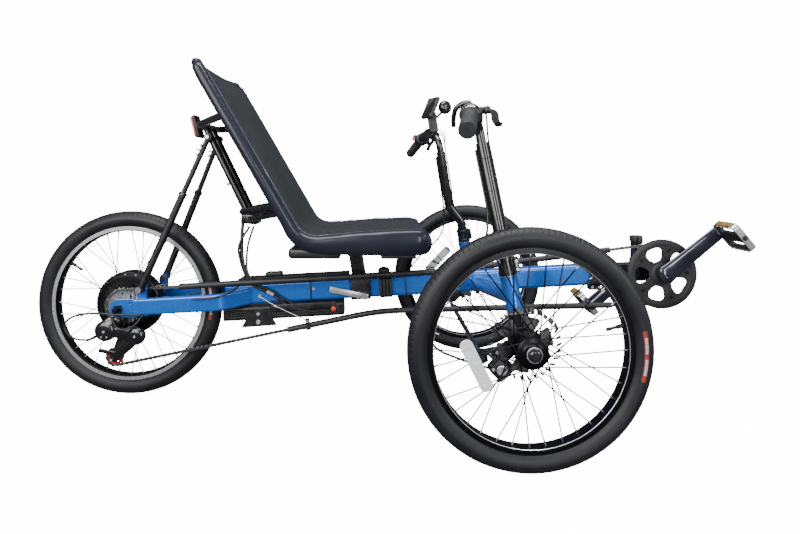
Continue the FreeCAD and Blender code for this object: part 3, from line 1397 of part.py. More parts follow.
plain_rim = turned("plain_rim", RIM_OUTLINE).Shape
build_front_wheels(plain_rim)
build_rear_wheel(plain_rim)
build_frame()
build_steering()
build_drive()
build_chain()
build_seat()
build_fittings()


def check_and_write():
    """Stop at any failed object or bad solid, then write one file for each sub-part."""
    doc.recompute()
    for thing in doc.Objects:
        if {"Invalid", "Error"} & set(thing.State):
            raise RuntimeError("failed: " + thing.Name)
    os.makedirs("parts", exist_ok=True)
    for thing in finished:
        shape = thing.Shape
        if shape.isNull() or not shape.isValid():
            raise RuntimeError("bad shape: " + thing.Label)
        shape.exportStep("parts/%s.step" % thing.Label)
        print(thing.Label, len(shape.Solids), round(shape.Volume))


check_and_write()
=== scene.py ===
"""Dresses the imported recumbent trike: every piece is worked out from the frame, in metres, in the row's own
axes."""
import json
import math

import bmesh
import bpy
import numpy as np
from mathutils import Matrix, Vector


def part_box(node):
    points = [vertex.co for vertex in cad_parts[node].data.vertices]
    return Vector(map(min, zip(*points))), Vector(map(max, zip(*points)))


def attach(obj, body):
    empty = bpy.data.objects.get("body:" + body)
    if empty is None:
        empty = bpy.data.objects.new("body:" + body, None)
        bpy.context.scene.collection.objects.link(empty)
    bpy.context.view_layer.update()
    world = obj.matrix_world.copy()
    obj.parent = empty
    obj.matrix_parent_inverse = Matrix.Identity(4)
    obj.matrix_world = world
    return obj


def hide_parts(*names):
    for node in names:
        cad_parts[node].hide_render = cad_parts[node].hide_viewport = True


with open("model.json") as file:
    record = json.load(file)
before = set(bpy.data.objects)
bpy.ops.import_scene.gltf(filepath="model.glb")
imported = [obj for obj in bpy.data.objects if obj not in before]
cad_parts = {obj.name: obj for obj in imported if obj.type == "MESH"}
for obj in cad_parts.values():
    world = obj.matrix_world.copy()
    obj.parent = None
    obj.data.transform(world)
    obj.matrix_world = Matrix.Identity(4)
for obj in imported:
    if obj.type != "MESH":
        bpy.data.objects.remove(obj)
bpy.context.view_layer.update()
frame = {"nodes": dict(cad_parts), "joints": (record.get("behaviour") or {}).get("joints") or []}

# --- Floor, lamps and camera ---------------------------------------------------------------
# A pale floor that curves up into a pale wall, lit by large soft lamps as for a catalogue picture.
# It carries no part of the trike.


class Flow:
    """One value in a finish, so that its maths reads as plain arithmetic."""

    def __init__(self, tree, socket):
        self.tree, self.socket = tree, socket

    def node(self, kind, settings=(), sockets=(), out=0):
        """Adds a node: its settings first, then its sockets, each a value or another Flow."""
        made = self.tree.nodes.new("ShaderNode" + kind)
        for key, value in dict(settings).items():
            setattr(made, key, value)
        for key, value in dict(sockets).items():
            if isinstance(value, Flow):
                self.tree.links.new(value.socket, made.inputs[key])
            else:
                made.inputs[key].default_value = value
        return Flow(self.tree, made.outputs[out])

    def maths(self, operation, *values):
        """A Math node of that operation on the values."""
        return self.node("Math", {"operation": operation}, enumerate(values))

    def __add__(self, other):
        return self.maths("ADD", self, other)

    def __sub__(self, other):
        return self.maths("SUBTRACT", self, other)

    def __rsub__(self, other):
        return self.maths("SUBTRACT", other, self)

    def __mul__(self, other):
        return self.maths("MULTIPLY", self, other)

    __radd__, __rmul__ = __add__, __mul__

    def axis(self, index):
        """One component of a vector."""
        return self.node("SeparateXYZ", (), {0: self}, out=index)

    def step(self, low, high):
        """0 below low, 1 above high, smooth between."""
        return self.node("MapRange", {"interpolation_type": "SMOOTHSTEP"}, {0: self, 1: low, 2: high})

    def mix(self, low, high):
        """A colour between two, each a triple or a Flow."""
        low, high = [value if isinstance(value, Flow) else (*value, 1) for value in (low, high)]
        return self.node("Mix", {"data_type": "RGBA"}, {0: self, 6: low, 7: high}, out=2)

    def noise(self, scale, detail=2.0, rough=0.5):
        """Clouds from 0 to 1."""
        return self.node("TexNoise", (),
                         {"Vector": self, "Scale": scale, "Detail": detail, "Roughness": rough})

    def cells(self, scale, out=0):
        """Voronoi cells: their distance, or with out=1 a colour for each cell."""
        return self.node("TexVoronoi", (), {"Vector": self, "Scale": scale}, out=out)

    def bump(self, distance, strength=1.0):
        """A surface normal tilted as this height rises and falls."""
        return self.node("Bump", (), {"Height": self, "Distance": distance, "Strength": strength})


def finish(name, fixed, vary):
    """A Principled finish: fixed gives its set values, vary the ones worked out from the piece's own
    place."""
    made = bpy.data.materials.new(name)
    made.use_nodes = True
    tree = made.node_tree
    shader = tree.nodes["Principled BSDF"]
    for key, value in fixed.items():
        shader.inputs[key].default_value = (*value, 1) if isinstance(value, tuple) else value
    place = Flow(tree, tree.nodes.new("ShaderNodeTexCoord").outputs["Object"])
    for key, value in vary(place).items():
        tree.links.new(value.socket, shader.inputs[key])
    return made


def grid_faces(rows, columns, round_rows=False, round_columns=False):
    """Four-cornered faces between neighbouring rows and columns; a round direction joins its last line to
    its first."""
    a, b = np.meshgrid(np.arange(rows - (not round_rows)), np.arange(columns - (not round_columns)),
                       indexing="ij")
    a2, b2 = (a + 1) % rows, (b + 1) % columns
    return np.stack([a * columns + b, a * columns + b2, a2 * columns + b2, a2 * columns + b],
                    -1).reshape(-1, 4)


def made_mesh(name, shapes, edge=38.0, weld=1e-6):
    """A mesh from (points, faces) shapes, with doubled points welded, faces outwards and edges sharper than
    edge crisp."""
    points = np.concatenate([shape[0] for shape in shapes])
    starts = np.cumsum([0] + [len(shape[0]) for shape in shapes])
    faces = [face for shape, start in zip(shapes, starts) for face in (shape[1] + start).tolist()]
    mesh = bpy.data.meshes.new(name)
    mesh.from_pydata(points.tolist(), [], faces)
    work = bmesh.new()
    work.from_mesh(mesh)
    bmesh.ops.remove_doubles(work, verts=work.verts, dist=weld)
    bmesh.ops.recalc_face_normals(work, faces=work.faces)
    work.to_mesh(mesh)
    work.free()
    mesh.shade_smooth()
    mesh.set_sharp_from_angle(angle=math.radians(edge))
    return mesh


def hung(name, shapes, material, body, stands_for=(), edge=38.0, weld=1e-6):
    """A piece of the trike from its shapes: its finish, the body that it rides on and the nodes that it
    stands for."""
    mesh = made_mesh(name, shapes, edge, weld)
    made = bpy.data.objects.new(name, mesh)
    bpy.context.scene.collection.objects.link(made)
    mesh.materials.append(material)
    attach(made, body)
    if stands_for:
        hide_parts(*stands_for)


backdrop_depth, backdrop_height, backdrop_bend = 3.4, 4.0, 1.4
t = np.linspace(0, 1, 24)
bend = np.stack([backdrop_depth - backdrop_bend + backdrop_bend * np.sin(t * math.pi / 2),
                 backdrop_bend - backdrop_bend * np.cos(t * math.pi / 2)], 1)
side_line = np.concatenate([[[-6.0, 0.0]], bend, [[backdrop_depth, backdrop_height]]])
across = np.array([-7.0, 7.0])
cove = np.stack(np.broadcast_arrays(across[:, None], side_line[None, :, 0], side_line[None, :, 1]), -1)
pale_paper = finish("pale_paper", {"Roughness": 0.9, "Specular IOR Level": 0.1, "Emission Strength": 14.0},
                    lambda place: {"Base Color": place.noise(3.0).mix((0.86, 0.87, 0.88), (0.9, 0.9, 0.91)),
                                   "Emission Color": place.noise(2.0).mix(
                                       (0.97, 0.98, 0.99), (0.99, 0.99, 1.0))})
floor = bpy.data.objects.new("studio_floor", made_mesh("studio_floor", [
    (cove.reshape(-1, 3), grid_faces(2, len(side_line)))], edge=80.0))
floor.data.materials.append(pale_paper)
bpy.context.scene.collection.objects.link(floor)
floor.visible_diffuse = floor.visible_glossy = False

world = bpy.data.worlds.new("studio_air")
world.use_nodes = True
world.node_tree.nodes["Background"].inputs[0].default_value = (0.93, 0.95, 1.0, 1)
world.node_tree.nodes["Background"].inputs[1].default_value = 0.12
bpy.context.scene.world = world

# name, place, aimed at, size along and across, watts, colour
LAMPS = (
    ("overhead_lamp", (0.1, -0.5, 2.9), (0.0, 0.0, 0.3), 2.6, 1.4, 110.0, (1.0, 1.0, 1.0)),
    ("near_lamp", (-1.5, -2.5, 1.5), (0.0, 0.0, 0.4), 2.2, 2.0, 95.0, (1.0, 0.99, 0.97)),
    ("front_lamp", (2.7, -1.4, 1.3), (0.3, 0.0, 0.4), 1.0, 1.4, 30.0, (0.96, 0.98, 1.0)),
    ("strip_lamp", (1.1, -3.3, 0.9), (0.0, 0.0, 0.4), 0.5, 2.2, 45.0, (1.0, 1.0, 1.0)),
    ("far_lamp", (0.6, 2.2, 2.3), (0.0, 0.0, 0.5), 1.8, 1.0, 80.0, (1.0, 1.0, 1.0)),
)
for name, place, aim, along, wide, watts, colour in LAMPS:
    lamp = bpy.data.lights.new(name, "AREA")
    lamp.shape, lamp.size, lamp.size_y = "RECTANGLE", along, wide
    lamp.energy, lamp.color = watts, colour
    holder = bpy.data.objects.new(name, lamp)
    holder.location = place
    holder.rotation_euler = (Vector(aim) - Vector(place)).to_track_quat("-Z", "Y").to_euler()
    holder.visible_glossy = name != "far_lamp"
    bpy.context.scene.collection.objects.link(holder)

camera = bpy.data.objects.new("camera", bpy.data.cameras.new("camera"))
camera.data.sensor_width, camera.data.lens = 36.0, 23.64
camera.data.shift_x, camera.data.shift_y = 0.0278, -0.1113
camera.location = (-0.0021, -1.4583, 0.6147)
camera.rotation_euler = [math.radians(turn) for turn in (89.501, -0.2955, -0.012)]
bpy.context.scene.collection.objects.link(camera)
bpy.context.scene.camera = camera

# --- Main beam, rear stays and cross tubes --------------------------------------------------
# Aluminium tubes, welded, primed and sprayed metallic blue under a clear coat.
# The solids stay as they are and only take the paint.


def dressed(material, *names):
    """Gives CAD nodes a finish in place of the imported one."""
    for node in names:
        slots = frame["nodes"][node].data.materials
        slots.clear()
        slots.append(material)


def blue_lacquer(place):
    """Fine metal flakes under lacquer: cells shift the blue a little and tilt the surface by a hair."""
    flakes = place.cells(2600.0, out=1).axis(0)
    cloud = place.noise(7.0, 3.0)
    return {"Base Color": (flakes * 0.6 + cloud * 0.4).mix((0.005, 0.095, 0.50), (0.024, 0.23, 0.86)),
            "Roughness": flakes * 0.12 + 0.24,
            "Normal": (flakes * 0.5 + place.noise(420.0) * 0.5).bump(0.00005, 0.35)}


blue_paint = finish("blue_metallic_paint", {"Metallic": 0.4, "Coat Weight": 0.9, "Coat Roughness": 0.05},
                    blue_lacquer)
dressed(blue_paint, "main_beam", "rear_stays", "cross_tubes")

# --- Tyres ------------------------------------------------------------------------------------
# Road tyres moulded in black rubber: a smooth crown with shallow cuts across the shoulders, fine
# ribs on the sidewalls and a coloured tab on the outer side. Each is mounted on its rim.


def turned(profile, steps=96, closed=False):
    """A shape turned about the Y axis: each profile row is (radius, along), carried round in equal steps.
    An open profile whose ends lie on the axis closes at its poles."""
    radius, along = np.asarray(profile, float).T
    turn = np.arange(steps)[:, None] * (2 * math.pi / steps)
    points = np.stack([np.cos(turn) * radius, along + 0 * turn, np.sin(turn) * radius], -1)
    return points.reshape(-1, 3), grid_faces(steps, len(radius), True, closed)


def placed(shape, spot, outward=(0, 1, 0), ahead=(1, 0, 0)):
    """The shape with its Y axis turned to outward and its X axis as near to ahead as that allows, then
    moved to spot."""
    outward = np.asarray(outward, float) / np.linalg.norm(outward)
    ahead = np.asarray(ahead, float) - outward * np.dot(ahead, outward)
    ahead /= np.linalg.norm(ahead)
    return shape[0] @ np.stack([ahead, outward, np.cross(ahead, outward)]) + np.asarray(spot, float), shape[1]


joints = {joint["name"]: joint for joint in frame["joints"]}
hub_places = {joint["child"]: np.array(joint["pos_m"]) for joint in joints.values()
              if "wheel" in joint["child"]}
# body, first name of its CAD nodes, which way is outward, where the sidewall's tab stands
WHEELS = (("right_front_wheel", "right_front", -1, 1.4), ("left_front_wheel", "left_front", 1, 60.0),
          ("rear_wheel", "rear", -1, -2.4))

tyre_round, tyre_radius, bead_half = 0.0230, 0.2533, 0.0122
tread_cuts, cut_depth = 116, 0.0009


def tyre_surface():
    """A round section carried round the wheel. Over the shoulders the radius drops by the cuts' depth
    wherever the turn lies within a cut; two fine grooves run round the crown, and three ribs stand on each
    sidewall."""
    edge = math.pi - math.asin(bead_half / tyre_round)
    across = np.concatenate([np.linspace(-edge, -1.32, 15), np.linspace(-1.26, 1.26, 31),
                             np.linspace(1.32, edge, 15)])
    beat = np.array([0.0, 0.38, 0.42, 0.46, 0.54, 0.58, 0.62, 0.8])
    turn = (np.arange(tread_cuts)[:, None] + beat).ravel()[:, None] * (2 * math.pi / tread_cuts)
    in_cut = np.clip(1.9 - np.abs(beat - 0.5) / 0.045, 0, 1)
    shoulder = np.clip((np.abs(across) - 0.4) / 0.1, 0, 1) * np.clip((1.04 - np.abs(across)) / 0.1, 0, 1)
    crown = np.exp(-((np.abs(across) - 0.24) / 0.035) ** 2)
    ribs = sum(np.exp(-((np.abs(across) - at) / 0.035) ** 2) for at in (1.5, 2.04, 2.34))
    thick = (tyre_round - np.tile(in_cut, tread_cuts)[:, None] * shoulder * cut_depth - crown * 0.0006
             + ribs * 0.0004)
    skew = turn + 0.012 * np.sin(across * 2)
    radius = tyre_radius - tyre_round + thick * np.cos(across)
    points = np.stack([np.cos(skew) * radius, thick * np.sin(across), np.sin(skew) * radius], -1)
    return points.reshape(-1, 3), grid_faces(len(turn), len(across), True, True)


def tab_surface(start, end, low, high, proud):
    """A patch of the sidewall between two turns in degrees and two angles round the section, a little proud
    of it."""
    turn, across = np.radians(np.linspace(start, end, 24))[:, None], np.linspace(low, high, 5)
    thick = tyre_round + proud
    radius = tyre_radius - tyre_round + thick * np.cos(across)
    points = np.stack([np.cos(turn) * radius, thick * np.sin(across) + 0 * turn, np.sin(turn) * radius], -1)
    return points.reshape(-1, 3), grid_faces(24, 5)


def rubber(place):
    """Moulded rubber: a fine grain, faint dust in patches and a soft sheen that varies."""
    patches = place.noise(9.0, 4.0, 0.6)
    return {"Base Color": patches.step(0.35, 0.75).mix((0.007, 0.007, 0.010), (0.016, 0.016, 0.021)),
            "Roughness": patches * 0.22 + 0.4,
            "Normal": (place.noise(900.0, 3.0) * 0.6 + place.noise(260.0) * 0.4).bump(0.00012, 0.5)}


def worn_ink(scale, gone, low, high):
    """Ink on rubber: the first colour, worn through to the second in specks between the two gone limits."""
    def vary(place):
        """Ink and worn specks at each place."""
        worn = place.noise(scale, 3.0).step(*gone)
        return {"Base Color": worn.mix(low, high), "Roughness": worn * 0.2 + 0.45}
    return vary


tyre_rubber = finish("tyre_rubber", {"Specular IOR Level": 0.45}, rubber)
orange_ink = worn_ink(420.0, (0.58, 0.7), (0.38, 0.04, 0.025), (0.14, 0.04, 0.03))
pale_ink = worn_ink(520.0, (0.5, 0.68), (0.5, 0.48, 0.56), (0.3, 0.16, 0.17))
tab_finishes = {"": finish("orange_tab_ink", {}, orange_ink), "_middle": finish("pale_tab_ink", {}, pale_ink)}
for body, first, outward, tab_at in WHEELS:
    hub, way = hub_places[body], ((0, outward, 0), (1, 0, 0))
    hung(first + "_tyre_rubber", [placed(tyre_surface(), hub, *way)],
         tyre_rubber, body, [first + "_tyre"], edge=50.0)
    tabs = {"": [tab_surface(tab_at - 13, tab_at + 13, 1.42, 1.80, 0.0003)],
            "_middle": [tab_surface(tab_at - 9.6, tab_at - 1.4, 1.49, 1.73, 0.0006),
                        tab_surface(tab_at + 1.4, tab_at + 9.6, 1.49, 1.73, 0.0006)]}
    for part, shapes in tabs.items():
        hung(first + "_tyre_tab" + part, [placed(shape, hub, *way) for shape in shapes], tab_finishes[part],
             body)

# --- Rims, spokes and hubs -------------------------------------------------------------------
# Hollow aluminium rims, anodised black; the rear one has bright machined sides, and the front ones a thin
# bright ring at the inner edge as a painted highlight. Thirty-six steel spokes, crossed three times in front
# and once behind, run from nipples to the hub's flanges.


def along_path(path, radius, sides=10):
    """A round tube along a path of points, with one radius or one for each point. Each ring stands square
    to the path's own direction there; the ends close to points."""
    path = np.asarray(path, float)
    radius = np.broadcast_to(radius, len(path)).astype(float)
    path, radius = np.concatenate([path[:1], path, path[-1:]]), np.concatenate([[0], radius, [0]])
    way = np.gradient(path[1:-1], axis=0)
    way /= np.linalg.norm(way, axis=1, keepdims=True)
    way = np.concatenate([way[:1], way, way[-1:]])
    helper = np.eye(3)[np.argmin(np.abs(way).max(axis=0))]
    first = np.cross(way, helper)
    first /= np.linalg.norm(first, axis=1, keepdims=True)
    second = np.cross(way, first)
    turn = np.arange(sides)[None, :, None] * (2 * math.pi / sides)
    rings = (path[:, None]
             + radius[:, None, None] * (np.cos(turn) * first[:, None] + np.sin(turn) * second[:, None]))
    return rings.reshape(-1, 3), grid_faces(len(path), sides, False, True)


rim_section = [(0.2134, 0.0139), (0.2139, 0.0133), (0.2134, 0.0122), (0.2110, 0.0118), (0.2070, 0.0070),
               (0.2070, -0.0070), (0.2110, -0.0118), (0.2134, -0.0122), (0.2139, -0.0133),
               (0.2134, -0.0139), (0.2012, -0.0139), (0.2002, -0.0132), (0.1994, -0.0118),
               (0.1992, -0.0060), (0.1992, 0.0060), (0.1994, 0.0118), (0.2002, 0.0132), (0.2012, 0.0139)]
spoke_count = 36


def laced(flange_radius, flange_half, lean):
    """Spokes and nipples: spoke k meets the rim k equal steps round and the flange a lean ahead or behind
    that, on either side by turns; each starts with a bend through its flange."""
    spokes, nipples = [], []
    for index in range(spoke_count):
        side, trailing = (1 if index % 2 else -1), (1 if (index // 2) % 2 else -1)
        at_rim = 2 * math.pi / spoke_count * index
        at_flange = at_rim + math.radians(lean) * trailing
        out = np.array([math.cos(at_flange), 0, math.sin(at_flange)]) * flange_radius
        near = out + [0, side * (flange_half + trailing * 0.0014), 0]
        rim = np.array([math.cos(at_rim), 0, math.sin(at_rim)])
        far = rim * 0.1996 + [0, side * 0.002, 0]
        way = (far - near) / np.linalg.norm(far - near)
        through = near + [0, -side * trailing * 0.0022, 0]
        spokes.append(along_path([through, near - way * 0.0004, near + way * 0.002, far], 0.00145, 8))
        nipples.append(along_path([far - way * 0.0105, far - way * 0.01, far - way * 0.004,
                                   far + way * 0.004], [0.0014, 0.0018, 0.0020, 0.0022], 8))
    return spokes, nipples


def anodised(place):
    """Black anodising: even, with faint lines left by the roll and small rubs."""
    rubs = place.noise(60.0, 5.0, 0.65).step(0.62, 0.78)
    return {"Base Color": rubs.mix((0.010, 0.010, 0.012), (0.035, 0.035, 0.04)),
            "Roughness": rubs * 0.12 + 0.3, "Normal": place.noise(500.0).bump(0.00005, 0.3)}


def machined(place):
    """Turned aluminium: fine scratches and small changes of shine."""
    streaks = place.noise(750.0, 2.0)
    return {"Base Color": streaks.mix((0.62, 0.63, 0.65), (0.82, 0.83, 0.85)),
            "Roughness": streaks * 0.14 + 0.2, "Normal": streaks.bump(0.00004, 0.4)}


def plated(low, high, rough):
    """Drawn steel under a thin plating: its colour and its shine change in patches."""
    def vary(place):
        """Plating at each place."""
        patches = place.noise(35.0, 3.0)
        return {"Base Color": patches.mix(low, high), "Roughness": patches * 0.2 + rough}
    return vary


black_alloy = finish("black_anodised_alloy", {"Metallic": 0.75}, anodised)
bright_alloy = finish("machined_alloy", {"Metallic": 0.72}, machined)
bright_steel = finish("plated_steel", {"Metallic": 1.0}, plated((0.35, 0.36, 0.38), (0.62, 0.63, 0.66), 0.22))
dark_spokes = finish("dark_spoke_steel", {"Metallic": 1.0},
                     plated((0.012, 0.012, 0.014), (0.05, 0.05, 0.055), 0.3))
grey_spokes = finish("grey_spoke_steel", {"Metallic": 1.0},
                     plated((0.10, 0.10, 0.11), (0.22, 0.22, 0.24), 0.35))
front_hub = [(0.0076, -0.0355), (0.0210, -0.0355), (0.0216, -0.0349), (0.0218, -0.0262), (0.0226, -0.0246),
             (0.0300, -0.0242), (0.0328, -0.0236), (0.0330, -0.0205), (0.0322, -0.0196), (0.0262, -0.0188),
             (0.0200, -0.0168), (0.0172, -0.0120), (0.0162, 0.0), (0.0172, 0.0120), (0.0200, 0.0168),
             (0.0262, 0.0188), (0.0322, 0.0196), (0.0330, 0.0205), (0.0328, 0.0236), (0.0312, 0.0248),
             (0.0250, 0.0262), (0.0212, 0.0280), (0.0186, 0.0304), (0.0178, 0.0324), (0.0160, 0.0330),
             (0.0076, 0.0330)]
motor_shell = [(0.0061, -0.0615), (0.0165, -0.0615), (0.0168, -0.0262), (0.0400, -0.0245),
               (0.0740, -0.0222), (0.0752, -0.0228), (0.0812, -0.0220), (0.0822, -0.0204),
               (0.0872, -0.0176), (0.0880, -0.0160), (0.0880, -0.0090), (0.0862, -0.0078), (0.0862, 0.0078),
               (0.0880, 0.0090), (0.0880, 0.0160), (0.0872, 0.0176), (0.0822, 0.0204), (0.0812, 0.0220),
               (0.0752, 0.0228), (0.0740, 0.0222), (0.0450, 0.0330), (0.0430, 0.0345), (0.0245, 0.0376),
               (0.0200, 0.0400), (0.0198, 0.0620), (0.0061, 0.0620)]
for body, first, outward, _ in WHEELS:
    hub, way, rear = hub_places[body], ((0, outward, 0), (outward, 0, 0)), first == "rear"
    if rear:
        way = ((0, 1, 0), (1, 0, 0))
    def on_wheel(shapes):
        """The shapes moved to this wheel."""
        return [placed(shape, hub, *way) for shape in shapes]
    shell = [turned(rim_section, 180, True), turned(motor_shell if rear else front_hub, 96, True)]
    hung(first + "_rim_and_hub", on_wheel(shell), black_alloy, body,
         [first + "_wheel"], edge=28.0)
    spokes, nipples = laced(*((0.0842, 0.0125, 14) if rear else (0.0295, 0.0216, 58)))
    hung(first + "_spokes", on_wheel(spokes), grey_spokes if rear else dark_spokes, body)
    hung(first + "_nipples", on_wheel(nipples), bright_steel, body)
    if rear:
        heads = [placed(turned([(0, 0.0014), (0.0018, 0.0010), (0.0026, 0), (0, 0)], 10),
                        (0.0800 * math.cos(a), side * 0.0207, 0.0800 * math.sin(a)), (0, side, 0))
                 for side in (-1, 1) for a in np.radians(20 * np.arange(18) + 5 * side)]
        # A thin bright ring on the motor's side cover stands for the highlight there: a painted highlight.
        heads.append(turned([(0.0575, -0.0232), (0.0578, -0.0242), (0.0596, -0.0241), (0.0599, -0.0231)],
                            96, True))
        hung("motor_spoke_heads", on_wheel(heads), bright_alloy, body)
    valve_turn = math.radians({"right_front": 165.0, "left_front": 210.0, "rear": 147.0}[first])
    ray = np.array([math.cos(valve_turn), 0, math.sin(valve_turn)])
    valve = along_path([ray * r for r in (0.162, 0.1622, 0.1655, 0.172, 0.1722, 0.184, 0.1842, 0.203)],
                       [0.0022, 0.0030, 0.0038, 0.0038, 0.0030, 0.0032, 0.0044, 0.0046], 12)
    hung(first + "_valve", on_wheel([valve]), tyre_rubber, body)
    # On the rear rim the bright band is its machined side; on the front rims the thin bright ring at the
    # inner edge is a painted highlight of the chamfer.
    band = (0.2026, 0.2132) if rear else (0.1996, 0.2008)
    bands = [turned([(band[0], side * (0.0137 if rear else 0.0131)), (band[1], side * 0.0137),
                     (band[1], side * 0.01405), (band[0], side * (0.01405 if rear else 0.0134))], 180, True)
             for side in (-1, 1)]
    hung(first + "_rim_edge", on_wheel(bands), bright_alloy, body, edge=28.0)

# --- Brake discs and calipers ----------------------------------------------------------------
# Steel discs stamped with a waved edge and slots, bolted to the hubs by six screws. Each cast
# caliper straddles its disc on the knuckle's bracket, with a bright adjuster on its outer side.


def rounded_loop(half_u, half_v, corner, steps=4):
    """Points round a rectangle with rounded corners: half - corner out along each axis, plus corner along
    the turn."""
    turn = np.radians(np.arange(4)[:, None] * 90 + np.linspace(0, 90, steps))
    u = np.array([1, -1, -1, 1])[:, None] * (half_u - corner) + corner * np.cos(turn)
    v = np.array([1, 1, -1, -1])[:, None] * (half_v - corner) + corner * np.sin(turn)
    return np.stack([u, v], -1).reshape(-1, 2)


def bowed(loop, middle, turn):
    """The loop carried to a radius and a turn in degrees, its second axis bent round the circle."""
    radius, angle = middle + loop[:, 0], math.radians(turn) + loop[:, 1] / middle
    return np.stack([radius * np.cos(angle), radius * np.sin(angle)], -1)


def swung(loop, middle, turn):
    """The loop carried to a radius and a turn in degrees without bending it."""
    c, s = math.cos(math.radians(turn)), math.sin(math.radians(turn))
    u = middle + loop[:, 0]
    return np.stack([u * c - loop[:, 1] * s, u * s + loop[:, 1] * c], -1)


def waved(radius, depth, count, steps=12, sharp=1.0):
    """A circle whose radius falls by depth between count crests; a sharp above 1 makes the crests narrow."""
    turn = np.arange(count * steps) * (2 * math.pi / (count * steps))
    radius = radius - depth * (1 - (0.5 + 0.5 * np.cos(turn * count)) ** sharp)
    return np.stack([radius * np.cos(turn), radius * np.sin(turn)], -1)


def stamped(outlines, thick, bevel=0.0002):
    """A plate square to Y between its outlines, the first outside the others, with its rims slightly
    broken."""
    curve = bpy.data.curves.new("outlines", "CURVE")
    curve.dimensions, curve.fill_mode = "2D", "BOTH"
    curve.extrude, curve.offset = thick / 2 - bevel, -bevel
    curve.bevel_depth, curve.bevel_resolution = bevel, 0
    for outline in outlines:
        spline = curve.splines.new("POLY")
        spline.points.add(len(outline) - 1)
        spline.points.foreach_set("co", np.pad(outline, ((0, 0), (0, 2))).ravel())
        spline.use_cyclic_u = True
    holder = bpy.data.objects.new("outlines", curve)
    mesh = bpy.data.meshes.new_from_object(holder)
    mesh.calc_loop_triangles()
    points, faces = np.empty(len(mesh.vertices) * 3), np.empty(len(mesh.loop_triangles) * 3, int)
    mesh.vertices.foreach_get("co", points)
    mesh.loop_triangles.foreach_get("vertices", faces)
    bpy.data.objects.remove(holder)
    bpy.data.meshes.remove(mesh)
    bpy.data.curves.remove(curve)
    return points.reshape(-1, 3)[:, [0, 2, 1]], faces.reshape(-1, 3)


def rounded_block(size, corner, steps=3):
    """A box about its middle with rounded edges: each direction n of a sphere gives the point
    sign(n) * (half - corner) + corner * n, with doubled rows and columns where a sign changes."""
    half = np.asarray(size, float) / 2
    quarter = np.linspace(0, math.pi / 2, steps + 1)
    turn = (np.arange(4)[:, None] * math.pi / 2 + quarter).ravel()
    rise = np.concatenate([quarter - math.pi / 2, quarter])[:, None]
    way = np.stack([np.cos(rise) * np.cos(turn), np.cos(rise) * np.sin(turn), np.sin(rise) + 0 * turn], -1)
    signs = np.stack(np.broadcast_arrays(np.repeat([1, -1, -1, 1], steps + 1),
                                         np.repeat([1, 1, -1, -1], steps + 1),
                                         np.repeat([-1, 1], steps + 1)[:, None]), -1)
    points = signs * (half - corner) + corner * way
    poles = [np.broadcast_to([0, 0, z], (1, len(turn), 3)) for z in (-half[2], half[2])]
    points = np.concatenate([poles[0], points, poles[1]])
    return points.reshape(-1, 3), grid_faces(len(rise) + 2, len(turn), False, True)


def screw(radius, height, steps=16, socket=0.5):
    """A round screw head that stands on the XZ plane, with a recess in its face; six steps make a nut."""
    return turned([(0, height * 0.4), (radius * socket, height * 0.4), (radius * socket, height),
                   (radius * 0.85, height), (radius, height * 0.75), (radius, 0), (0, 0)], steps)


def patchy(low, high, rough, scale=30.0, grain=500.0, depth=0.00005):
    """Changes for a worn or cast surface: colour between low and high in patches, more matt in some, with a
    fine grain."""
    def vary(place):
        """Patches and grain at each place."""
        patches = place.noise(scale, 4.0, 0.6)
        return {"Base Color": patches.step(0.3, 0.75).mix(low, high),
                "Roughness": patches * (rough[1] - rough[0]) + rough[0],
                "Normal": place.noise(grain, 3.0).bump(depth, 0.4)}
    return vary


def brushed_disc(place):
    """Ground steel: scratches across the pads' track, darker where the pads have not rubbed."""
    marks = place.noise(900.0, 2.0)
    return {"Base Color": marks.mix((0.07, 0.07, 0.075), (0.20, 0.20, 0.21)), "Roughness": marks * 0.2 + 0.32,
            "Normal": marks.bump(0.00004, 0.5)}


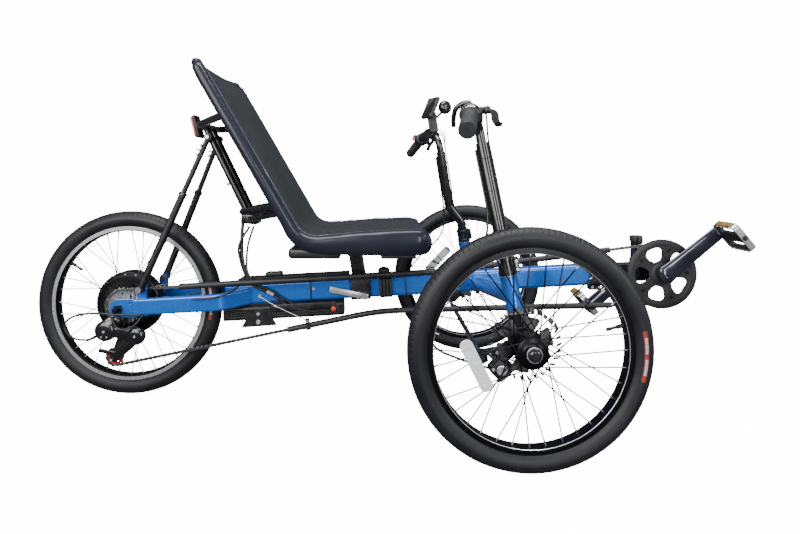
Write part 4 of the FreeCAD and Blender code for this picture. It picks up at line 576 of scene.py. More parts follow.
disc_steel = finish("brake_disc_steel", {"Metallic": 1.0}, brushed_disc)
cast_black = finish("black_cast_alloy", {"Metallic": 0.35},
                    patchy((0.010, 0.010, 0.012), (0.030, 0.030, 0.034), (0.32, 0.5), 40.0, 700.0, 0.0001))
satin_plastic = finish("satin_black_plastic", {},
                       patchy((0.012, 0.012, 0.014), (0.026, 0.026, 0.030), (0.35, 0.55), 25.0, 1400.0,
                              0.00008))
disc_radius = 0.080
for body, first, outward, _ in WHEELS[:2]:
    hub, side = hub_places[body], first.split("_")[0]
    inside = sum(corner[1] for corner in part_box(side + "_brake_disc")) / 2
    spot = (hub[0], inside, hub[2])
    holes = [bowed(rounded_loop(0.0135, 0.0175, 0.005), 0.0475, 60 * k + 18) for k in range(6)]
    slots = [swung(np.stack([u, v + 0.5 * u], -1), 0.0722, 12 * k) for k in range(30)
             for u, v in [rounded_loop(0.0052, 0.0026, 0.002).T]]
    plate = stamped([waved(disc_radius, 0.0035, 10, 12, 0.8), *slots, *holes, waved(0.0225, 0, 1, 40)],
                    0.0018)
    hung(side + "_disc", [placed(plate, spot)], disc_steel, body,
         [side + "_brake_disc"])
    heads = [placed(screw(0.0042, 0.0026), (hub[0] + 0.0262 * math.cos(a), inside - outward * 0.0009,
                                            hub[2] + 0.0262 * math.sin(a)), (0, -outward, 0))
             for a in np.arange(6) * math.pi / 3 + 0.2]
    hung(side + "_disc_screws", heads, bright_steel, body)
    rides = side + "_steering"
    slant = math.radians(45)
    back, below = (np.array([-math.cos(slant), 0, -math.sin(slant)]),
                   np.array([math.sin(slant), 0, -math.cos(slant)]))
    def by_caliper(shape, out, aside=0.0, up=0.0, face=(0, outward, 0), ahead=back):
        """The shape at a distance out from the axle along the caliper's own line, on the wheel's side of
        the disc by up."""
        return placed(shape, np.array([hub[0], inside + outward * up, hub[2]]) + back * out + below * aside,
                      face, ahead)
    body_shapes = [by_caliper(rounded_block((0.034, 0.011, 0.040), 0.004), 0.0745, 0, 0.0078),
                   by_caliper(rounded_block((0.034, 0.016, 0.040), 0.004), 0.0745, 0, -0.0104),
                   by_caliper(rounded_block((0.009, 0.029, 0.036), 0.003), 0.0885, 0, -0.0012),
                   by_caliper(rounded_block((0.048, 0.006, 0.013), 0.0025), 0.040, 0, -0.0142),
                   by_caliper(rounded_block((0.012, 0.008, 0.060), 0.003), 0.056, 0, -0.0142),
                   by_caliper(rounded_block((0.010, 0.007, 0.026), 0.003), 0.082, -0.016, 0.0095)]
    hung(side + "_caliper_body", body_shapes, cast_black, rides,
         [side + "_caliper"])
    bright = [by_caliper(turned([(0, 0.0014), (0.0060, 0.0014), (0.0072, 0.0030), (0.0104, 0.0030),
                                 (0.0112, 0.0024), (0.0112, -0.004), (0, -0.004)], 40), 0.073, 0, 0.0125)]
    bright += [by_caliper(screw(0.0036, 0.003), out, aside, 0.0134)
               for out, aside in ((0.0845, 0.0145), (0.0845, -0.0145))]
    bright += [by_caliper(screw(0.0042, 0.0034), 0.056, aside, -0.0102) for aside in (0.024, -0.024)]
    bright += [by_caliper(along_path(np.array([(0, y, 0)
                                               for y in (0, 0.003, 0.0031, 0.012, 0.0121, 0.018)]),
                                     [0.0036, 0.0036, 0.0042, 0.0042, 0.003, 0.003], 14), 0.070, -0.021,
                          -0.012, -below, back)]
    hung(side + "_caliper_bolts", bright, bright_alloy, rides)

# --- Knuckles, hub caps and spoke reflectors --------------------------------------------------
# Forged steel knuckles, painted black: the solids stay, with a web on each. A domed cap closes each
# hub, a nut holds the kingpin, and a clear prismatic reflector is clipped to the spokes.

gloss_black = finish("gloss_black_paint", {"Coat Weight": 0.9, "Coat Roughness": 0.06},
                     patchy((0.004, 0.004, 0.005), (0.011, 0.011, 0.013), (0.22, 0.34), 14.0, 260.0, 0.00003))
for body, first, outward, _ in WHEELS[:2]:
    side, hub = first.split("_")[0], hub_places[body]
    rides = side + "_steering"
    dressed(cast_black, side + "_knuckle")
    steer = joints[side + "_steer"]
    pin, lean = np.array(steer["pos_m"]), np.array(steer["axis"])
    disc_y = sum(corner[1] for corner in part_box(side + "_brake_disc")) / 2
    foot_turn = math.atan2(pin[2] - 0.004 - hub[2], pin[0] - hub[0])
    run = np.linspace(0, 2 * math.pi, 49)[:-1]
    towards = np.clip(np.cos(run), 0, 1) ** 3 * (math.hypot(pin[0] - hub[0], pin[2] - hub[2]) - 0.018)
    web_edge = np.stack([np.cos(run + foot_turn), np.sin(run + foot_turn)], -1) * (0.0350 + towards)[:, None]
    web = [placed(stamped([web_edge], 0.0100, 0.0022), (hub[0], disc_y - outward * 0.0098, hub[2]),
                  (0, 1, 0), (1, 0, 0))]
    web.append(placed(rounded_block((0.060, 0.0080, 0.026), 0.0035),
                      (hub[0] - 0.040, disc_y - outward * 0.0150, hub[2] - 0.014), (0, 1, 0), (1, 0, 0.55)))
    hung(side + "_knuckle_web", web, cast_black, rides)
    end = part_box(side + "_knuckle")[1 if outward > 0 else 0][1]
    cap = turned([(0, 0), (0.0030, -0.0001), (0.0075, -0.0012), (0.0112, -0.0032), (0.0132, -0.0062),
                  (0.0138, -0.0110), (0, -0.0110)], 48)
    ring = turned([(0.0138, -0.0068), (0.0158, -0.0068), (0.0166, -0.0076), (0.0168, -0.0102),
                   (0.0138, -0.0102)], 48, True)
    hung(side + "_hub_cap", [placed(cap, (hub[0], end, hub[2]), (0, outward, 0))], gloss_black,
         rides)
    hung(side + "_hub_ring", [placed(ring, (hub[0], end, hub[2]), (0, outward, 0))],
         bright_steel, rides)
    def on_pin(shape, along):
        """The shape at a distance along the kingpin."""
        return placed(shape, pin + lean * along, lean)
    # The cups are bright alloy in place of black: their brightness is a painted highlight for the silver
    # gleam on the black headset cups.
    cups = [on_pin(turned([(0.0186, low), (0.0196, low + 0.0006), (0.0196, high - 0.0006), (0.0186, high),
                           (0.0132, high), (0.0132, low)], 48, True), 0)
            for low, high in ((0.0575, 0.0622), (0.1395, 0.1412))]
    hung(side + "_head_cups", cups, bright_alloy, "frame")
    hung(side + "_kingpin_nut", [on_pin(screw(0.0125, 0.007, 6, 0.45), -0.0232)],
         bright_steel, rides)


def prismatic(low, high, rough, scale=380.0):
    """Plastic moulded into rows of small prisms: cell by cell the colour is painted lighter or darker as
    painted glints of the facets catching the light, and a bump tilts each facet.
    """
    def vary(place):
        """Facets at each place."""
        # painted glints: each cell's colour lies between the dark and the bright tone
        cells = place.cells(scale, out=1).axis(0)
        return {"Base Color": cells.mix(low, high), "Roughness": cells * 0.25 + rough,
                "Normal": place.cells(scale).bump(0.0006, 0.6)}
    return vary


clear_lens = finish("clear_reflector", {"Coat Weight": 0.6},
                    prismatic((0.74, 0.76, 0.84), (0.97, 0.98, 1.0), 0.2, 420.0))
for first, outward, slant in (("right", -1, 27.0), ("left", 1, 223.0)):
    low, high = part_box(first + "_reflector")
    middle = np.array([(low[axis] + high[axis]) / 2 for axis in range(3)])
    turn = math.radians(slant)
    tall = np.array([-math.sin(turn) * (1 if outward < 0 else -1), 0, math.cos(turn)])
    way, rides = ((0, outward, 0), tall), first + "_front_wheel"
    lens = [placed(stamped([rounded_loop(0.0570, 0.0135, 0.0115, 6)], 0.0070, 0.0016), middle, *way)]
    hung(first + "_reflector_lens", lens, clear_lens, rides,
         stands_for=[first + "_reflector"])
    rims = [placed(rounded_block((0.004, 0.0078, 0.0250), 0.0012), middle + tall * at, *way)
            for at in (-0.0430, 0.0430)]
    rims += [placed(rounded_block((0.016, 0.0086, 0.0070), 0.0012), middle, *way)]
    hung(first + "_reflector_clip", rims, clear_lens, rides)

# --- Handlebars, grips and levers -------------------------------------------------------------
# Steel tubes, bent, welded and painted gloss black: the solids stay, with bolts, cable ties and a
# gear cable on them. Rubber grips, a twist shifter, a thumb throttle and cast lever brackets clamp round.


def curve_through(points, steps=8):
    """A smooth line through the points (Catmull-Rom): between p1 and p2 it is
    p1 + t (p2-p0)/2 + t^2 (2 p0 - 5 p1 + 4 p2 - p3)/2 + t^3 (3 p1 - p0 - 3 p2 + p3)/2."""
    points = np.asarray(points, float)
    points = np.concatenate([[2 * points[0] - points[1]], points, [2 * points[-1] - points[-2]]])
    t = np.linspace(0, 1, steps, endpoint=False)[:, None]
    line = [b + t * (c - a) / 2 + t ** 2 * (2 * a - 5 * b + 4 * c - d) / 2
            + t ** 3 * (3 * b - a - 3 * c + d) / 2
            for a, b, c, d in zip(points, points[1:], points[2:], points[3:])]
    return np.concatenate(line + [points[-2:-1]])


def fluted(shape, count, share):
    """A turned shape whose radius rises and falls by a share, count times round."""
    points = shape[0].copy()
    points[:, [0, 2]] *= 1 + share * np.cos(count * np.arctan2(points[:, 2], points[:, 0]))[:, None]
    return points, shape[1]


def flattened(shape, spot, normal, keep):
    """The shape pressed towards a plane through spot, to keep times its thickness."""
    normal = np.asarray(normal, float) / np.linalg.norm(normal)
    away = (shape[0] - spot) @ normal
    return shape[0] - (1 - keep) * away[:, None] * normal, shape[1]


def cable_tie(spot, way, radius, towards):
    """A nylon tie: a thin band round way with its lock and cut tail on the towards side."""
    band = turned([(radius, -0.0013), (radius + 0.0009, -0.0013), (radius + 0.0009, 0.0013),
                   (radius, 0.0013)], 32, True)
    towards = np.asarray(towards, float) - np.asarray(way) * np.dot(towards, way)
    towards /= np.linalg.norm(towards)
    lock = placed(rounded_block((0.0050, 0.0036, 0.0034), 0.0006, 2), spot + towards * (radius + 0.0022),
                  way, towards)
    tail = placed(rounded_block((0.0070, 0.0012, 0.0022), 0.0004, 1), spot + towards * (radius + 0.0058),
                  way, towards)
    return [placed(band, spot, way), lock, tail]


def unit(vector):
    """The direction of a vector."""
    return np.asarray(vector, float) / np.linalg.norm(vector)


def ribbed_rubber(place):
    """Soft rubber, rubbed smooth and grey in places."""
    patches = place.noise(30.0, 3.0)
    return {"Base Color": patches.mix((0.008, 0.009, 0.010), (0.03, 0.032, 0.036)),
            "Roughness": patches * 0.25 + 0.45, "Normal": place.noise(1500.0).bump(0.00008, 0.5)}


def smoked(place):
    """Smoke-tinted plating: darker and lighter clouds under a clear skin."""
    clouds = place.noise(55.0, 3.0)
    return {"Base Color": clouds.step(0.35, 0.7).mix((0.10, 0.10, 0.105), (0.42, 0.41, 0.39)),
            "Roughness": clouds * 0.16 + 0.12}


def tinted(low, high, scale, rough_scale, spread, rough):
    """Smooth coloured plastic: a slight cloud in its colour and a little change in its shine."""
    def vary(place):
        """Colour and shine at each place."""
        return {"Base Color": place.noise(scale).mix(low, high),
                "Roughness": place.noise(rough_scale) * spread + rough}
    return vary


def dark_glass(place):
    """A switched-off screen: dark glass, with faint bands of a lit room painted into its colour as a painted
    reflection.
    """
    # painted reflection: slanted bands that lighten the glass's colour
    band = (place.axis(1) * 0.8 + place.axis(2) * 0.6) * 95.0
    band = band.maths("SINE", band).step(0.2, 0.9)
    return {"Base Color": band.mix((0.006, 0.007, 0.008), (0.07, 0.075, 0.06)),
            "Roughness": place.noise(8.0) * 0.1 + 0.06}


sleeve_black = finish("cable_sleeve", {"Coat Weight": 0.2},
                      patchy((0.008, 0.008, 0.009), (0.02, 0.02, 0.023), (0.32, 0.45), 18.0, 900.0, 0.00004))
grip_rubber = finish("grip_rubber", {}, ribbed_rubber)
shift_barrel = finish("smoked_shift_barrel", {"Metallic": 0.85, "Coat Weight": 0.5}, smoked)
button_cap = finish("orange_button", {"Coat Weight": 0.3},
                    tinted((0.55, 0.04, 0.015), (0.75, 0.08, 0.03), 200.0, 500.0, 0.1, 0.3))
screen_glass = finish("screen_glass", {"Coat Weight": 1.0, "Coat Roughness": 0.03}, dark_glass)
post_top, grip_long, post_step_back = 0.486, 0.128, {"right": 0.0, "left": 0.032}
bar_tops = {}
for side, outward in (("right", -1), ("left", 1)):
    rides = side + "_steering"
    steer = joints[side + "_steer"]
    foot, lean = np.array(steer["pos_m"]), np.array(steer["axis"])
    def on_post(along):
        """A point of the post's axis; the left post steps back from the kingpin's line above its clamp."""
        return (foot + lean * along
                - np.array([post_step_back[side] * np.clip((along - 0.206) / 0.054, 0, 1), 0, 0]))
    corner = on_post(post_top)
    over = corner + [-0.027, outward * 0.068, 0.032]
    way = unit([-0.211, outward, -0.311])
    bar_end = over + way * (grip_long + 0.104)
    up = unit(np.array([0, 0, 1.0]) - way * way[2])
    ahead = np.cross(way, up) * (1 if np.cross(way, up)[0] > 0 else -1)
    bar_tops[side] = (corner, over, way, bar_end, up, ahead)
    dressed(gloss_black, side + "_handlebar")
    dressed(sleeve_black, side + "_brake_cable")
    collar = [placed(turned([(0.0191, -0.004), (0.0202, -0.0034), (0.0202, 0.0034), (0.0191, 0.004)], 48,
                            True), foot + lean * at, lean) for at in (0.1465, 0.1765)]
    ears = [placed(rounded_block((0.012, 0.034, 0.014), 0.002),
                   foot + lean * 0.1615 + unit([1, 0, 0.18]) * 0.0215, lean)]
    hung(side + "_post_clamp", collar + ears, gloss_black, rides)
    bolts = [placed(screw(0.0042, 0.0044),
                    foot + lean * at + unit([1, 0, 0.18]) * 0.0215 + [0, outward * 0.0068, 0],
                    (0, outward, 0)) for at in (0.1525, 0.1705)]
    hung(side + "_post_bolts", bolts, bright_steel, rides)
    spots = {"right": (0.238, 0.330, 0.405), "left": (0.258, 0.300, 0.345, 0.405)}[side]
    ties = [piece for at in spots for piece in cable_tie(on_post(at), lean, 0.0146, (-1, outward * 0.4, 0))]
    hung(side + "_post_ties", ties, sleeve_black, rides)
    run = [on_post(at) + [0.0172, outward * -0.0015, 0] for at in (0.196, 0.26, 0.33, 0.40, 0.455)]
    run += [corner + [0.015, outward * 0.022, 0.014], over + ahead * 0.026 + way * 0.03 + up * 0.004]
    hung(side + "_gear_cable", [along_path(curve_through(run, 6), 0.0022, 10)],
         sleeve_black, rides)

    def on_bar(shape, back, aside=0.0, rise=0.0, face=None, front=None):
        """The shape at a distance back from the bar's end, moved ahead and up from the bar's axis."""
        return placed(shape, bar_end - way * back + ahead * aside + up * rise,
                      way if face is None else face, ahead if front is None else front)
    run = np.linspace(-grip_long + 0.003, -0.004, 150)
    ribs = np.stack([0.0157 + 0.0008 * np.clip(np.sin(run * 1400) * 2, -1, 1), run], -1)
    grip = turned([(0.0112, -grip_long), (0.0182, -grip_long), (0.0184, -grip_long + 0.0026), *ribs,
                   (0.0165, -0.003), (0.0165, 0.0018), (0.0150, 0.0036), (0.0040, 0.0040), (0.0034, 0.0030),
                   (0, 0.0030)], 40)
    hung(side + "_grip_rubber", [on_bar(grip, 0)], grip_rubber, rides,
         [side + "_grip"])
    bell = turned([(0.0112, 0.0148), (0.0170, 0.0148), (0.0186, 0.0130), (0.0215, 0.0080), (0.0226, 0.0010),
                   (0.0226, -0.0060), (0.0210, -0.0130), (0.0188, -0.0150), (0.0112, -0.0150)], 96, True)
    node = "twist_shifter" if side == "right" else "thumb_throttle"
    barrel = on_bar(fluted(bell, 24, 0.012), grip_long + 0.0152)
    hung(node + "_barrel", [barrel], shift_barrel if side == "right" else satin_plastic,
         rides, [node], edge=50.0)
    housing = [on_bar(rounded_block((0.030, 0.022, 0.028), 0.005), grip_long + 0.029, 0.010, -0.006)]
    if side == "left":
        housing += [on_bar(rounded_block((0.018, 0.014, 0.020), 0.004), grip_long + 0.004, -0.016, 0.012)]
        cap = turned([(0, 0.0042), (0.0045, 0.0040), (0.0062, 0.0028), (0.0062, -0.003), (0, -0.003)], 24)
        button = [on_bar(cap, grip_long + 0.006, -0.0240, 0.0080, -unit(ahead) * 0.5 + up * 0.35 - way * 0.8)]
        hung("throttle_button", button, button_cap, rides)
    hung(side + "_switch_housing", housing, satin_plastic, rides)
    near = grip_long + 0.048
    bracket = [on_bar(turned([(0.0112, -0.008), (0.0150, -0.008), (0.0158, -0.006), (0.0158, 0.006),
                              (0.0150, 0.008), (0.0112, 0.008)], 40, True), near),
               on_bar(rounded_block((0.030, 0.016, 0.014), 0.004), near, 0.024, 0.002),
               on_bar(rounded_block((0.013, 0.034, 0.010), 0.003), near - 0.006, 0.034, 0.003),
               on_bar(turned([(0, 0.012), (0.0034, 0.012), (0.0046, 0.010), (0.0052, -0.004),
                              (0.0040, -0.010), (0, -0.010)], 20), near + 0.018, 0.034, 0.003)]
    root = bar_end - way * near + ahead * 0.036 + up * 0.002
    blade = curve_through([root, root + ahead * 0.0085 + way * 0.018, root + ahead * 0.0120 + way * 0.050,
                           root + ahead * 0.0125 + way * 0.086 - up * 0.002,
                           root + ahead * 0.0150 + way * 0.114 - up * 0.005,
                           root + ahead * 0.0180 + way * 0.126 - up * 0.006], 7)
    thick = np.interp(np.linspace(0, 1, len(blade)), [0, 0.15, 0.6, 0.9, 1],
                      [0.0062, 0.0078, 0.0074, 0.0066, 0.0080])
    lever = flattened(along_path(blade, thick, 14), root, up, 0.62)
    hung(side + "_lever_bracket", bracket, cast_black, rides,
         [side + "_brake_lever"])
    hung(side + "_lever_blade", [lever], gloss_black, rides)
    if side == "right":
        reach = curve_through([(0.002, 0.021), (-0.014, 0.021), (-0.029, 0.010), (-0.034, -0.010),
                               (-0.034, -0.027)], 7)
        paddle = [bar_end - way * (grip_long + 0.025) + ahead * aside + up * rise for aside, rise in reach]
        paddle = flattened(along_path(np.array(paddle), np.linspace(0.0062, 0.0045, len(paddle)), 14),
                           paddle[0], way, 1.25)
        hung("shift_paddle", [paddle], gloss_black, rides)
    screws = [on_bar(screw(0.0028, 0.0022), near, 0.030, 0.0085, up),
              on_bar(screw(0.0034, 0.0030), near, 0.0, 0.0155, up),
              on_bar(screw(0.0034, 0.0030), near, 0.012, -0.0085, -up)]
    hung(side + "_lever_screws", screws, bright_steel, rides)

# --- Display and horn --------------------------------------------------------------------------
# A moulded display with a glass face, tilted to the rider on its stalk over the left bar's bend,
# and a round horn in front of it. The painted tie rod and its two lock nuts are here too.

corner, over, way, bar_end, up, ahead = bar_tops["left"]
slab_face = unit([-0.82, -0.40, 0.41])
slab_up = unit(np.array([0, 0, 1.0]) - slab_face * slab_face[2])
slab_side = np.cross(slab_up, slab_face)
slab = corner + [-0.024, 0.030, 0.104]


def on_slab(size, corner_radius, aside=0.0, rise=0.0, out=0.0):
    """A block on the display: its size is up the slab, through it and across it."""
    return placed(rounded_block(size, corner_radius),
                  slab + slab_face * out + slab_side * aside + slab_up * rise, slab_face, slab_up)


case = [on_slab((0.0755, 0.0125, 0.0615), 0.0035), on_slab((0.050, 0.006, 0.036), 0.002, 0, -0.004, -0.0075)]
stalk_foot = corner + [-0.010, 0.026, 0.012]
stalk_way = unit(slab - stalk_foot)
case += [placed(rounded_block((0.030, 0.062, 0.018), 0.004), stalk_foot + stalk_way * 0.046, stalk_way,
                (1, 0, 0)),
         placed(rounded_block((0.026, 0.013, 0.032), 0.004), stalk_foot + stalk_way * 0.0165, stalk_way,
                (1, 0, 0))]
bar_way = unit(over - corner)
case += [placed(turned([(0.0112, -0.011), (0.0150, -0.011), (0.0160, -0.009), (0.0160, 0.009),
                        (0.0150, 0.011), (0.0112, 0.011)], 40, True), corner + bar_way * 0.034, bar_way)]
hung("display_case", case, satin_plastic, "left_steering", ["display"])
hung("display_glass", [on_slab((0.066, 0.0016, 0.053), 0.0007, 0, 0.001, 0.0064)], screen_glass,
     "left_steering")
horn_at = corner + [0.023, 0.022, 0.106]
horn = turned([(0, 0.0155), (0.0070, 0.0150), (0.0076, 0.0136), (0.0150, 0.0128), (0.0204, 0.0090),
               (0.0228, 0.0030), (0.0228, -0.0030), (0.0204, -0.0100), (0.0140, -0.0146), (0, -0.0156)], 48)
arm = along_path(curve_through([horn_at + [-0.004, 0, -0.010], horn_at + [-0.018, 0.002, -0.024],
                                stalk_foot + stalk_way * 0.052], 6), 0.0042, 12)
hung("horn_shell", [placed(horn, horn_at, (0.55, -0.8, 0.05)), arm], gloss_black, "left_steering")
lead = curve_through([slab - slab_face * 0.010 - slab_up * 0.030,
                      slab - slab_face * 0.026 - slab_up * 0.052, corner + [0.022, 0.024, 0.018],
                      corner + [0.020, 0.0, -0.020], on_post(0.44) + [0.0175, 0, 0]], 7)
hung("display_lead", [along_path(lead, 0.0018, 10)], sleeve_black, "left_steering")
dressed(gloss_black, "tie_rod")
rod_low, rod_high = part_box("tie_rod")
rod_x, rod_z = (rod_low[0] + rod_high[0]) / 2, (rod_low[2] + rod_high[2]) / 2
nuts = [placed(turned([(0.0061, -0.004), (0.0098, -0.004), (0.0100, -0.003), (0.0100, 0.003),
                       (0.0098, 0.004), (0.0061, 0.004)], 6, True), (rod_x, y, rod_z), (0, 1, 0))
        for y in (rod_low[1] + 0.034, rod_high[1] - 0.034)]
hung("tie_rod_nuts", nuts, bright_steel, "tie_rod", edge=20.0)

# --- Boom, clamp and accessory post ------------------------------------------------------------
# The boom slides in the beam's mouth and is drawn tight by a collar with two bolts; gloss black.
# The solids stay. A rubber-capped knob clamps on the accessory post.

rear = hub_places["rear_wheel"]
shaft = np.array(joints["crank_spin"]["pos_m"])
dressed(gloss_black, "boom")
dressed(cast_black, "boom_clamp")
clamp_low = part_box("boom_clamp")[0]
bolts = [placed(screw(0.0042, 0.0045), (clamp_low[0] + at, side * 0.0105, clamp_low[2] + 0.0085),
                (0, side, 0)) for at in (0.012, 0.030) for side in (-1, 1)]
hung("boom_clamp_bolts", bolts, bright_steel, "frame")
post = np.array([rear[0] + 1.402, 0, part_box("boom")[1][2]])
knob = [placed(turned([(0.0146, -0.016), (0.0170, -0.014), (0.0174, -0.004), (0.0160, 0.0),
                       (0.0120, 0.0012), (0, 0.0016)], 48), post, (0, 0, 1)),
        placed(rounded_block((0.014, 0.020, 0.022), 0.005), post + [0.0, -0.018, -0.010], (0, 0, 1))]
hung("post_cap", knob, grip_rubber, "frame")
rings = [placed(turned([(0.0210, near), (0.0222, near + 0.0002), (0.0222, near + 0.0022),
                        (0.0210, near + 0.0024)], 64, True), shaft) for near in (-0.0352, 0.0328)]
hung("shell_rings", rings, bright_alloy, "frame")

# --- Crankset and pedals -----------------------------------------------------------------------
# Forged arms, tapered and rounded, on the axle's ends; a toothed steel ring behind a moulded guard
# with five openings. Pedals have a moulded body inside a toothed alloy cage, with amber reflectors.


def toothed_radius(teeth):
    """The pitch circle of a wheel with that many teeth: pitch / (2 sin(pi / teeth))."""
    return chain_pitch / (2 * math.sin(math.pi / teeth))


def polished_black(place):
    """Black lacquer over polished alloy: very smooth, with slow changes of shine; in the same clouds the
    colour turns a lighter blue, a painted bluish highlight.
    """
    slow = place.noise(12.0, 2.0)
    # painted highlight: the lighter blue stands for the sheen on the polished arms
    return {"Base Color": slow.mix((0.012, 0.012, 0.022), (0.045, 0.047, 0.078)),
            "Roughness": slow * 0.16 + 0.12}


arm_black = finish("polished_black_alloy", {"Metallic": 0.45, "Coat Weight": 1.0, "Coat Roughness": 0.05},
                   polished_black)
amber_lens = finish("amber_reflector", {"Coat Weight": 0.15},
                    prismatic((0.10, 0.055, 0.006), (0.30, 0.17, 0.02), 0.4))
dressed(bright_steel, "crank_axle")
chain_pitch, ring_line, ring_teeth = 0.0127, -0.0482, 40
ring_radius = toothed_radius(ring_teeth)
toothed = stamped([waved(ring_radius + 0.0028, 0.0060, ring_teeth, 8, 0.8),
                   *[bowed(rounded_loop(0.0200, 0.0220, 0.013, 6), 0.0535, 72 * k + 39.5) for k in range(5)],
                   waved(0.0095, 0, 1, 40)], 0.0022)
spider = stamped([waved(0.0300, 0.0, 1, 60), waved(0.0095, 0, 1, 40)], 0.0060)
ring_parts = [placed(toothed, shaft + [0, ring_line, 0]), placed(spider, shaft + [0, ring_line - 0.0025, 0])]
hung("chainring_plate", ring_parts, dark_spokes, "crankset", ["chainring"])
openings = [bowed(rounded_loop(0.0185, 0.0200, 0.014, 6), 0.0535, 72 * k + 39.5) for k in range(5)]
guard_y = ring_line - 0.007
guard = [placed(stamped([waved(0.0925, 0, 1, 160), *openings, waved(0.0095, 0, 1, 40)], 0.0034, 0.0008),
                shaft + [0, guard_y, 0]),
         placed(turned([(0.0770, -0.0017), (0.0782, -0.0026), (0.0910, -0.0028), (0.0928, -0.0018),
                        (0.0930, 0.0018), (0.0905, 0.0020), (0.0770, 0.0010)], 160, True),
                shaft + [0, guard_y, 0]),
         placed(turned([(0.0095, -0.0040), (0.0250, -0.0040), (0.0300, -0.0018), (0.0300, 0.0010),
                        (0.0095, 0.0010)], 96, True), shaft + [0, guard_y, 0])]
hung("guard_plate", guard, satin_plastic, "crankset", ["chainguard"], edge=30.0)
heads = [placed(screw(0.0042, 0.0024),
                shaft + [0.0665 * math.cos(a), guard_y - 0.0014, 0.0665 * math.sin(a)], (0, -1, 0))
         for a in np.radians(72 * np.arange(5) + 75.5)]
hung("guard_screws", heads, dark_spokes, "crankset")
for side, outward in (("right", -1), ("left", 1)):
    end = np.array(joints[side + "_pedal_spin"]["pos_m"])
    mid = outward * 0.073
    along = unit([end[0] - shaft[0], 0, end[2] - shaft[2]])
    middle, tip = np.array([shaft[0], mid, shaft[2]]), np.array([end[0], mid, end[2]])
    reach = np.linalg.norm(tip - middle)
    share = np.linspace(-0.085, 1.065, 40)
    wide = np.interp(share, [-0.085, -0.06, 0.0, 0.12, 0.5, 0.9, 1.0, 1.05, 1.065],
                     [0.004, 0.0190, 0.0255, 0.0230, 0.0205, 0.0192, 0.0190, 0.0150, 0.006])
    arm = flattened(along_path(middle + along * reach * share[:, None], wide, 32), middle, (0, 1, 0), 0.40)
    bosses = [placed(turned([(0.0, 0.0072), (0.0100, 0.0072), (0.0150, 0.0066), (0.0178, 0.0052),
                             (0.0180, -0.0068), (0, -0.0068)], 56), middle, (0, outward, 0)),
              placed(turned([(0.0062, 0.0068), (0.0110, 0.0066), (0.0130, 0.0050), (0.0130, -0.0055),
                             (0.0110, -0.0066), (0.0062, -0.0066)], 48, True), tip, (0, outward, 0))]
    spindle = turned([(0, -0.0070), (0.0062, -0.0070), (0.0062, 0.0072), (0.0088, 0.0074), (0.0088, 0.0110),
                      (0.0050, 0.0116), (0.0050, 0.0900), (0, 0.0905)], 32)
    hung(side + "_crank_arm", [arm] + bosses, arm_black, "crankset",
         [side + "_crank"], edge=50.0)
    bolt = [placed(turned([(0, 0.0010), (0.0030, 0.0010), (0.0034, 0.0022), (0.0052, 0.0024),
                           (0.0062, 0.0014), (0.0062, -0.002), (0, -0.002)], 32),
                   middle + [0, outward * 0.0072, 0], (0, outward, 0)),
            placed(spindle, tip, (0, outward, 0))]
    hung(side + "_crank_bolt", bolt, bright_steel, "crankset")
    dip = math.radians(50)
    nose, face = np.array([math.cos(dip), 0, -math.sin(dip)]), np.array([math.sin(dip), 0, math.cos(dip)])
    low, high = sorted((outward * 0.0853, outward * 0.1693))
    centre = np.array([end[0], (low + high) / 2, end[2]]) + nose * 0.005
    def on_pedal(shape, forward=0.0, across=0.0, up=0.0, outward_way=None, front=None):
        """The shape moved along the pedal: forward, away from the crank and up out of its tread."""
        return placed(shape, centre + nose * forward + np.array([0, outward * across, 0]) + face * up,
                      face if outward_way is None else outward_way, nose if front is None else front)
    windows = [rounded_loop(0.0085, 0.0290, 0.004) + [way * 0.0215, 0] for way in (-1, 1)]
    body = [on_pedal(stamped([rounded_loop(0.0355, 0.0380, 0.009), *windows], 0.013, 0.002)),
            on_pedal(turned([(0.0066, -0.041), (0.0095, -0.040), (0.0105, -0.030), (0.0105, 0.030),
                             (0.0095, 0.040), (0.0066, 0.041)], 40, True), 0, 0, 0, (0, 1, 0), nose)]
    hung(side + "_pedal_body", body, satin_plastic, side + "_pedal",
         [side + "_pedal"])
    cage = [on_pedal(stamped([rounded_loop(0.0395, 0.0415, 0.011), rounded_loop(0.0370, 0.0390, 0.009)],
                             0.0170, 0.0004))]
    cage += [on_pedal(turned([(0, 0.0035), (0.0014, 0.0030), (0.0020, 0), (0, 0)], 8), way * 0.0383, across,
                      way2 * 0.0084, face * way2, nose) for way in (-1, 1)
             for across in (-0.03, -0.015, 0, 0.015, 0.03) for way2 in (-1, 1)]
    hung(side + "_pedal_cage", cage, bright_alloy, side + "_pedal")
    lenses = [on_pedal(rounded_block((0.0036, 0.0150, 0.0560), 0.0014), way * 0.0405) for way in (-1, 1)]
    hung(side + "_pedal_reflectors", lenses, amber_lens, side + "_pedal")
    cap = on_pedal(turned([(0, 0.0024), (0.0060, 0.0020), (0.0075, 0.0), (0, 0)], 28), 0, 0.0405, 0,
                   (0, outward, 0), nose)
    hung(side + "_pedal_cap", [cap], satin_plastic, side + "_pedal")

# --- Chain, tubes, cassette and derailleur -----------------------------------------------------
# Roller chain, link by link, through two plastic tubes; seven toothed steel sprockets; the
# derailleur has a moulded body, stamped cage plates and two toothed pulleys, the lower one red.


